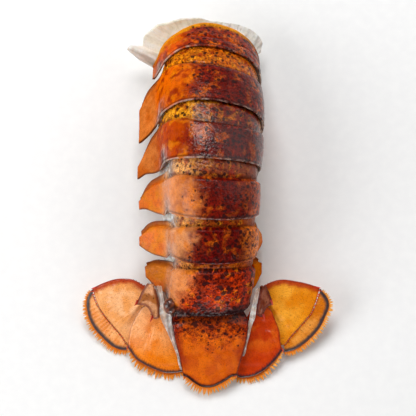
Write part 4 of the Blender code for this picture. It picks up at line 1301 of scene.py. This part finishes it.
def protopod_piece(name, edges, style, material):
    """Small leg base that carries two side blades, with a raised fold."""
    inner, outer, _, end = edges
    rim = samples_of(end)
    sides = samples_of(inner) + samples_of(outer)

    def entry_at(u, v, x, y):
        z = blade_height(x, y) + 2.2 + 1.2 * math.sin(math.pi * u) * (1 - 0.7 * v)
        place = Vector((x, y, z))
        edge = min(nearest((x, y), rim), nearest((x, y), sides))
        z += 0.20 * bump_at(edge, 1.0, 0.6) - 0.45 * ease(0.6, 0.0, edge)
        z += 0.16 * wave_noise(place, 3.0, 2, 80) + 0.35 * bump_at(u, 0.42, 0.10) * (1 - v)
        cloud = wave_noise(place, 4.0, 3, style["seed"])
        tint = mix(style["main"], style["deep"], ease(-0.3, 0.4, cloud))
        tint = mix(tint, style["edge"], 0.8 * ease(1.5, 0.5, edge))
        return Vector((x, y, z)), tint, BASE_SPOTS, BASE_WETNESS

    return patch_piece(name, edges, BASE_GRID, entry_at, material, BASE_THICKNESS)


def fan_skin_piece(name, edges, material):
    """Wrinkled grey skin along the side of the telson."""
    inner, outer = edges
    columns, rows = FAN_SKIN_GRID

    def entry_at(i, j):
        u, v = i / columns, j / rows
        a, b = curve_point(inner, v), curve_point(outer, v)
        spread_u = u + (u - 0.55) * 0.6 * bump_at(v, 0.32, 0.22)
        x, y = a[0] + (b[0] - a[0]) * spread_u, a[1] + (b[1] - a[1]) * spread_u
        wave = 0.25 * math.sin(9.0 * v + 2.0 * u) * (1 - v)
        folds = 0.16 * math.sin(u * 11.0 + 3.0 * math.sin(v * 7.0)) * math.sin(math.pi * u) ** 0.5
        z = blade_height(x, y) + 1.75 + wave + folds
        tint = cloudy_mix("#B8A8A0", "#EAE0DA", -0.3, 0.4, wave_noise((x, y, 0.0), 2.5, 3, 85))
        stain = 0.5 * ease(-0.05, 0.4, wave_noise((x, y, 0.0), 4.0, 2, 86))
        return Vector((x, y, z)), mix(tint, srgb("#CC9A78"), stain), 0.0, 0.0

    return face_up(detail_sheet(name, sheet_rows(FAN_SKIN_GRID, entry_at), material, SKIN_THICKNESS))


def cut_skin_piece(material):
    """Torn skin that stands out round the cut, creased along its length."""
    first, last = CUT_SKIN[0][0], CUT_SKIN[-1][0]
    reach = [(u, r) for u, r, _ in CUT_SKIN]
    lean = [(u, w) for u, _, w in CUT_SKIN]
    columns, rows = CUT_SKIN_GRID

    def entry_at(i, j):
        u, v = last + (first - last) * i / columns, j / rows
        rim = segment_margins(0, u)[0]
        free = along(reach, u)
        ragged = 1 - 0.03 * (0.5 + 0.5 * math.sin(u * 31.0 + 2.0 * math.sin(u * 13.0)))
        length = CUT_SKIN_TUCK + free * ragged
        out = max(length * v - CUT_SKIN_TUCK - CUT_SKIN_STANDOFF, 0.0) / (free - CUT_SKIN_STANDOFF)
        crease = 0.10 * wave_noise((u * 80.0, out * 7.0, 0.0), 3.0, 3, 12)
        fold = 0.22 * wave_noise((u * 50.0, out * 5.0, 9.0), 9.0, 2, 13)
        wave = (0.20 * math.sin(23.0 * u) + crease + fold) * min(out * 1.6, 1.0)
        lift = -2.4 + along(lean, u) * out ** 1.5 + wave
        place = skin(rim + CUT_SKIN_TUCK - length * v, u, lift)
        streak = wave_noise((u * 150.0, out * 6.0, 3.0), 4.0, 3, 16)
        cream = ease(-0.02, -0.24, u) * ease(-0.76, -0.70, u)
        tint = layered(
            cloudy_mix("#DCD8D2", "#EEEBE6", -0.3, 0.4, wave_noise(place, 5.0, 3, 15)),
            (srgb("#BAB8B4"), 0.7 * ease(-0.70, -0.78, u)),
            (srgb("#FCEFD8"), 0.85 * cream * (1 - 0.20 * out)),
            (srgb("#A8A098"), 0.55 * ease(0.0, 0.45, streak) * (1 - 0.6 * cream)),
            (srgb("#F4F0EA"), 0.6 * ease(0.0, 0.45, -streak)),
        )
        return place, tint, 0.0, 0.0

    points = sheet_rows(CUT_SKIN_GRID, entry_at)
    return detail_sheet("cut_end_skin_folds", points, material, SKIN_THICKNESS)


def hinge_skin_piece(name, index, side, material):
    """Creased joint skin in the gap between two segments' flanks."""
    columns, rows = HINGE_SKIN_GRID

    def entry_at(i, j):
        u = 0.51 + 0.31 * i / columns
        s = STATIONS[index + 1] - 5.5 + 7.0 * j / rows
        wave = 0.22 * wave_noise((s * 0.6, u * 60.0, index), 2.0, 3, 18)
        place = skin(s, side * u, -3.5 + wave)
        tint = cloudy_mix("#C9C2BA", "#F0ECE6", -0.4, 0.4, wave_noise(place, 1.5, 3, 19))
        return place, tint, 0.0, 0.0

    points = sheet_rows(HINGE_SKIN_GRID, entry_at)
    return detail_sheet(name, points, material, SKIN_THICKNESS, flip=side < 0)


def closed_loops(name, loops, material, tint_at):
    """Solid from closed rings of places, with a fan of faces at each end."""
    count = len(loops[0])
    places = [place for loop in loops for place in loop]
    first_centre = sum(loops[0], Vector()) / count
    last_centre = sum(loops[-1], Vector()) / count
    places += [first_centre, last_centre]
    faces = []
    for row in range(len(loops) - 1):
        for column in range(count):
            near, far = row * count + column, row * count + (column + 1) % count
            faces.append((near, far, far + count, near + count))
    start = (len(loops) - 1) * count
    for column in range(count):
        following = (column + 1) % count
        faces.append((following, column, len(places) - 2))
        faces.append((start + column, start + following, len(places) - 1))
    obj = mesh_object(name, [settle(place) for place in places], faces, material)
    mesh = obj.data
    mesh.shade_smooth()
    mesh.color_attributes.new("tint", "FLOAT_COLOR", "POINT")
    store_tints(mesh, [tint_at(place) for place in places])
    solid = bmesh.new()
    solid.from_mesh(mesh)
    bmesh.ops.recalc_face_normals(solid, faces=solid.faces)
    solid.to_mesh(mesh)
    solid.free()
    return obj


def meat_tint(place):
    tint = cloudy_mix("#F0DCBC", "#F8F0E2", -0.3, 0.4, wave_noise(place, 6.0, 3, 25))
    return mix(tint, srgb("#E8BC90"), 0.5 * ease(0.1, 0.5, wave_noise(place, 9.0, 2, 26)))


def meat_piece(material):
    """Tail meat: a full muscle with lengthwise grooves below and a cut front face."""
    columns, rows = MEAT_GRID
    face = ((-1.6, 0.10), (-1.6, 0.30), (-1.6, 0.52), (-1.55, 0.70), (-1.0, 0.84), (0.0, 0.93))
    profile = [(MEAT_FRONT + ahead, full) for ahead, full in face]
    profile += [(1.0 + (MEAT_REAR - 1.0) * i / rows, 1.0) for i in range(rows)]
    profile += [(MEAT_REAR, 0.8)]
    loops = []
    for s, full in profile:
        loop = []
        for column in range(columns):
            turn = column / columns
            across, up = meat_outline(s, turn)
            under = math.sin(math.pi * max(turn - MEAT_TOP_SHARE, 0.0) / (1 - MEAT_TOP_SHARE))
            across, up = across * full, MEAT_MIDDLE + (up - MEAT_MIDDLE) * full
            place = place_section(s, across, up)
            dent = 0.20 * wave_noise(place, 5.0, 3, 27) + 0.35 * under * bump_at(across, 0.0, 1.0)
            inward = 1 - dent / 18.0
            place = place_section(s, across * inward, MEAT_MIDDLE + (up - MEAT_MIDDLE) * inward)
            if full < 0.9:
                place += Vector((0.0, 0.35 * wave_noise(place, 2.6, 3, 28), 0.0))
            loop.append(place)
        loops.append(loop)
    obj = closed_loops("meat_muscle", loops, material, meat_tint)
    for vertex in obj.data.vertices:
        vertex.co.z = max(vertex.co.z, 0.0)
    return obj


def knob_piece(material):
    """Dark knob of the joint at the left rear corner of the sixth segment."""
    around, rings = KNOB_GRID
    centre = skin(*KNOB_PLACE)

    def place_at(turn, tilt):
        way = Vector((math.sin(tilt) * math.cos(turn), math.sin(tilt) * math.sin(turn), -math.cos(tilt)))
        size = Vector((way.x * KNOB.x, way.y * KNOB.y, way.z * KNOB.z))
        return centre + size * (1 + 0.10 * wave_noise(way * 3.0, 1.6, 2, 66))

    def tint_at(place):
        return cloudy_mix("#34120A", "#7A3410", -0.2, 0.5, wave_noise(place, 1.8, 2, 67))

    turns = [2 * math.pi * i / around for i in range(around)]
    loops = [[place_at(turn, math.pi * k / rings) for turn in turns] for k in range(1, rings)]
    return closed_loops("rear_joint_knob", loops, material, tint_at)


def underside_bar_piece(name, index, material):
    """Knotted bar across the underside, at the rear of a segment."""
    around, steps = BAR_GRID
    s = STATIONS[index + 1] - 3.0
    loops = []
    for j in range(steps + 1):
        v = j / steps
        across, up = belly(s, v)
        loop = []
        for k in range(around):
            angle = 2 * math.pi * k / around
            knot = 1 + 0.10 * math.sin(14.0 * v + k)
            along_tail = s + 1.5 * math.cos(angle) * knot
            loop.append(place_section(along_tail, across, up - 1.6 + 0.8 * math.sin(angle)))
        loops.append(loop)

    def tint_at(place):
        return cloudy_mix("#D8CFC4", "#C98A55", -0.1, 0.5, wave_noise(place, 3.0, 3, 29))

    return closed_loops(name, loops, material, tint_at)


def swimmeret_piece(name, index, side, material):
    """Small thin paddle with a raised middle vein and a paler edge."""
    columns, rows = PADDLE_GRID
    s = STATIONS[index + 1] - 3.0
    root, low = belly(s, 0.5 + side * 0.36)

    def entry_at(i, j):
        u, v = i / columns, j / rows
        width = 1.0 + 2.0 * math.sin(math.pi * (0.12 + 0.8 * v))
        across = root + (u - 0.5) * 2 * width - side * 1.5 * v
        drop = low - 2.9 - 3.4 * v - 0.6 * (2 * u - 1) ** 2 + 0.12 * bump_at(u, 0.5, 0.12)
        tint = cloudy_mix("#D87A2C", "#F0C89A", 0.25, 0.0, min(u, 1 - u, 1 - v))
        return place_section(s + 9.5 * v, across, drop), tint, 0.1, 0.0

    return face_up(detail_sheet(name, sheet_rows(PADDLE_GRID, entry_at), material, PADDLE_THICKNESS))


# Assembly

def exopod_height(x, y):
    return blade_height(x, y) - EXOPOD_LAYER


# Each fringe: node, rim, side it stands out to, height, clumps and (share of the rim, reach) pairs.
FRINGES = (
    ("telson_fringe", TELSON[3], 1, telson_height, 30, [(0, 1.5), (0.2, 4.4), (0.8, 4.2), (1, 1.5)]),
    ("left_endopod_fringe", LEFT_ENDOPOD[3], -1, blade_height, 26,
     [(0, 2.0), (0.3, 4.2), (0.7, 4.6), (0.85, 2.5), (1, 0.6)]),
    ("right_endopod_fringe", RIGHT_ENDOPOD[3], 1, blade_height, 26,
     [(0, 2.0), (0.3, 4.2), (0.7, 4.0), (0.85, 2.5), (1, 0.6)]),
    ("left_exopod_fringe", LEFT_RIM, 1, exopod_height, 52,
     [(0, 1.4), (0.2, 2.4), (0.6, 3.0), (0.9, 3.2), (1, 2.6)]),
    ("right_exopod_fringe", RIGHT_RIM, -1, exopod_height, 52,
     [(0, 1.4), (0.2, 2.4), (0.6, 3.0), (0.9, 3.0), (1, 1.8)]),
)


def build_tail():
    """All visible pieces, each in place of the stored solids it stands for."""
    shell = shell_material("shell_wet", 0.16, 0.28, 0.55, 0.08, 2.4 * MM, 0.40)
    fan = shell_material("fan_shell_wet", 0.05, 0.30, 0.40, 0.10, 1.8 * MM, 0.15)
    bristle = plain_tinted("bristle_horn", 0.5, 0.5)
    horn = plain_tinted("spine_horn", 0.28, 1.0, 0.5)
    flesh = soft_material(
        "flesh_wet", (1.0, 0.16, 1.0), 0.18, 0.34, 0.4, 0.35, (0.86, 0.74, 0.60), 0.5)
    membrane = soft_material(
        "membrane_wet", (1.0, 0.35, 1.0), 0.16, 0.30, 0.5, 0.40, (0.76, 0.73, 0.70), 0.5)

    for index in range(6):
        put(detail_segment(index, shell), "shell", f"segment_{index + 1}")
    put(telson_piece(fan), "fan_shell", "telson")
    for node, edges, layer, style in (
        ("left_endopod", LEFT_ENDOPOD, 0.0, ENDOPOD_LEFT),
        ("right_endopod", RIGHT_ENDOPOD, 0.0, ENDOPOD_RIGHT),
        ("left_exopod", LEFT_EXOPOD, EXOPOD_LAYER, EXOPOD_LEFT),
        ("right_exopod", RIGHT_EXOPOD, EXOPOD_LAYER, EXOPOD_RIGHT),
    ):
        put(blade_piece(f"{node}_blade", edges, layer, fan, style), "fan_shell", node)
    for node, suture, rim, style, outward, seed in (
        ("left_exopod_flap", LEFT_SUTURE, LEFT_RIM, FLAP_LEFT, 1, 41),
        ("right_exopod_flap", RIGHT_SUTURE, RIGHT_RIM, FLAP_RIGHT, -1, 42),
    ):
        put(flap_piece(f"{node}_blade", suture, rim, fan, style), "fan_shell", node)
        put(suture_teeth(f"{node}_teeth", suture, outward, horn, seed), "fan_shell")
    bases = (("left", LEFT_PROTOPOD, LEFT_BASE), ("right", RIGHT_PROTOPOD, RIGHT_BASE))
    for side, edges, style in bases:
        put(protopod_piece(f"{side}_protopod_base", edges, style, shell), "shell", f"{side}_protopod")
    for seed, (node, rim, outward, height_at, clumps, reach) in enumerate(FRINGES):
        name = f"{node}_bristles"
        piece = fringe_piece(name, rim, outward, reach, height_at, bristle, clumps, SEED + seed)
        put(piece, "bristles", node)
    for side, edges in (("left", LEFT_FAN_SKIN), ("right", RIGHT_FAN_SKIN)):
        put(fan_skin_piece(f"{side}_fan_skin_folds", edges, membrane), "membrane", f"{side}_fan_skin")
    put(cut_skin_piece(membrane), "membrane", "cut_end_skin")
    put(meat_piece(flesh), "flesh", "meat")
    for index in range(1, 5):
        node = f"underside_bar_{index + 1}"
        put(underside_bar_piece(f"{node}_ridge", index, membrane), "membrane", node)
        for side, word in SIDES:
            node = f"{word}_hinge_skin_{index + 1}"
            put(hinge_skin_piece(f"{node}_folds", index, side, membrane), "membrane", node)
            node = f"{word}_swimmeret_{index + 1}"
            put(swimmeret_piece(f"{node}_paddle", index, side, fan), "fan_shell", node)
    put(spines_piece(horn), "fan_shell")
    put(knob_piece(horn), "shell")


# Floor, light and camera

VIEW_TURN = Euler((REST_PITCH, REST_ROLL, 0.0))
CAMERA_DISTANCE = 1.6
VIEW_WIDTH = PHOTO_SIZE * PIXEL * MM
SENSOR = 36.0
AIM = settle((0.0, 0.0, 10.0))
FLOOR_HALF = 3.0
WORLD_STRENGTH = 0.12
# Soft panels: direction in the camera's own axes, distance, size and power.
LIGHTS = (
    ("top_softbox", (-0.09, 0.77, 0.64), 1.0, (0.52, 0.52), 6.5),
    ("left_softbox", (-0.79, -0.06, 0.61), 0.9, (0.70, 0.56), 5.0),
    ("right_softbox", (0.74, 0.52, 0.42), 1.1, (1.10, 1.10), 3.6),
    ("rear_softbox", (0.15, -0.97, 0.20), 1.1, (0.80, 0.60), 15.0),
)


def build_floor():
    """Plain pale floor."""
    h = FLOOR_HALF
    corners = [(-h, -h, 0.0), (h, -h, 0.0), (h, h, 0.0), (-h, h, 0.0)]
    nodes = Nodes("floor_pale")
    grain = nodes.noise(nodes.place(), 4.0 * MM, 3.0)
    colour = nodes.blend(nodes.spread(grain, 0.3, 0.8), (0.90, 0.90, 0.90), (0.93, 0.93, 0.925))
    pale = nodes.finish(colour, 0.7, nodes.bump(grain, 0.02 * MM, 0.3))
    mesh_object("floor", corners, [(0, 1, 2, 3)], pale)


def area_light(name, direction, distance, size, power):
    """Soft panel in a direction given in the camera's own axes, aimed at the tail."""
    data = bpy.data.lights.new(name, "AREA")
    data.shape = "RECTANGLE"
    data.size, data.size_y = size
    data.energy = power
    light = bpy.data.objects.new(name, data)
    aim = VIEW_TURN.to_matrix() @ Vector(direction).normalized()
    light.location = AIM + aim * distance
    light.rotation_euler = (-aim).to_track_quat("-Z", "Y").to_euler()
    bpy.context.scene.collection.objects.link(light)


def build_light():
    world = bpy.data.worlds.new("pale_room")
    world.use_nodes = True
    background = world.node_tree.nodes["Background"]
    background.inputs["Color"].default_value = (1.0, 0.995, 0.985, 1.0)
    background.inputs["Strength"].default_value = WORLD_STRENGTH
    bpy.context.scene.world = world
    for light in LIGHTS:
        area_light(*light)


def build_camera():
    data = bpy.data.cameras.new("camera")
    data.sensor_width = SENSOR
    data.lens = SENSOR * CAMERA_DISTANCE / VIEW_WIDTH
    camera = bpy.data.objects.new("camera", data)
    camera.location = AIM + VIEW_TURN.to_matrix() @ Vector((0.0, 0.0, CAMERA_DISTANCE))
    camera.rotation_euler = VIEW_TURN
    bpy.context.scene.collection.objects.link(camera)
    bpy.context.scene.camera = camera


build_tail()
build_floor()
build_light()
build_camera()
bpy.context.scene.view_settings.view_transform = "Standard"
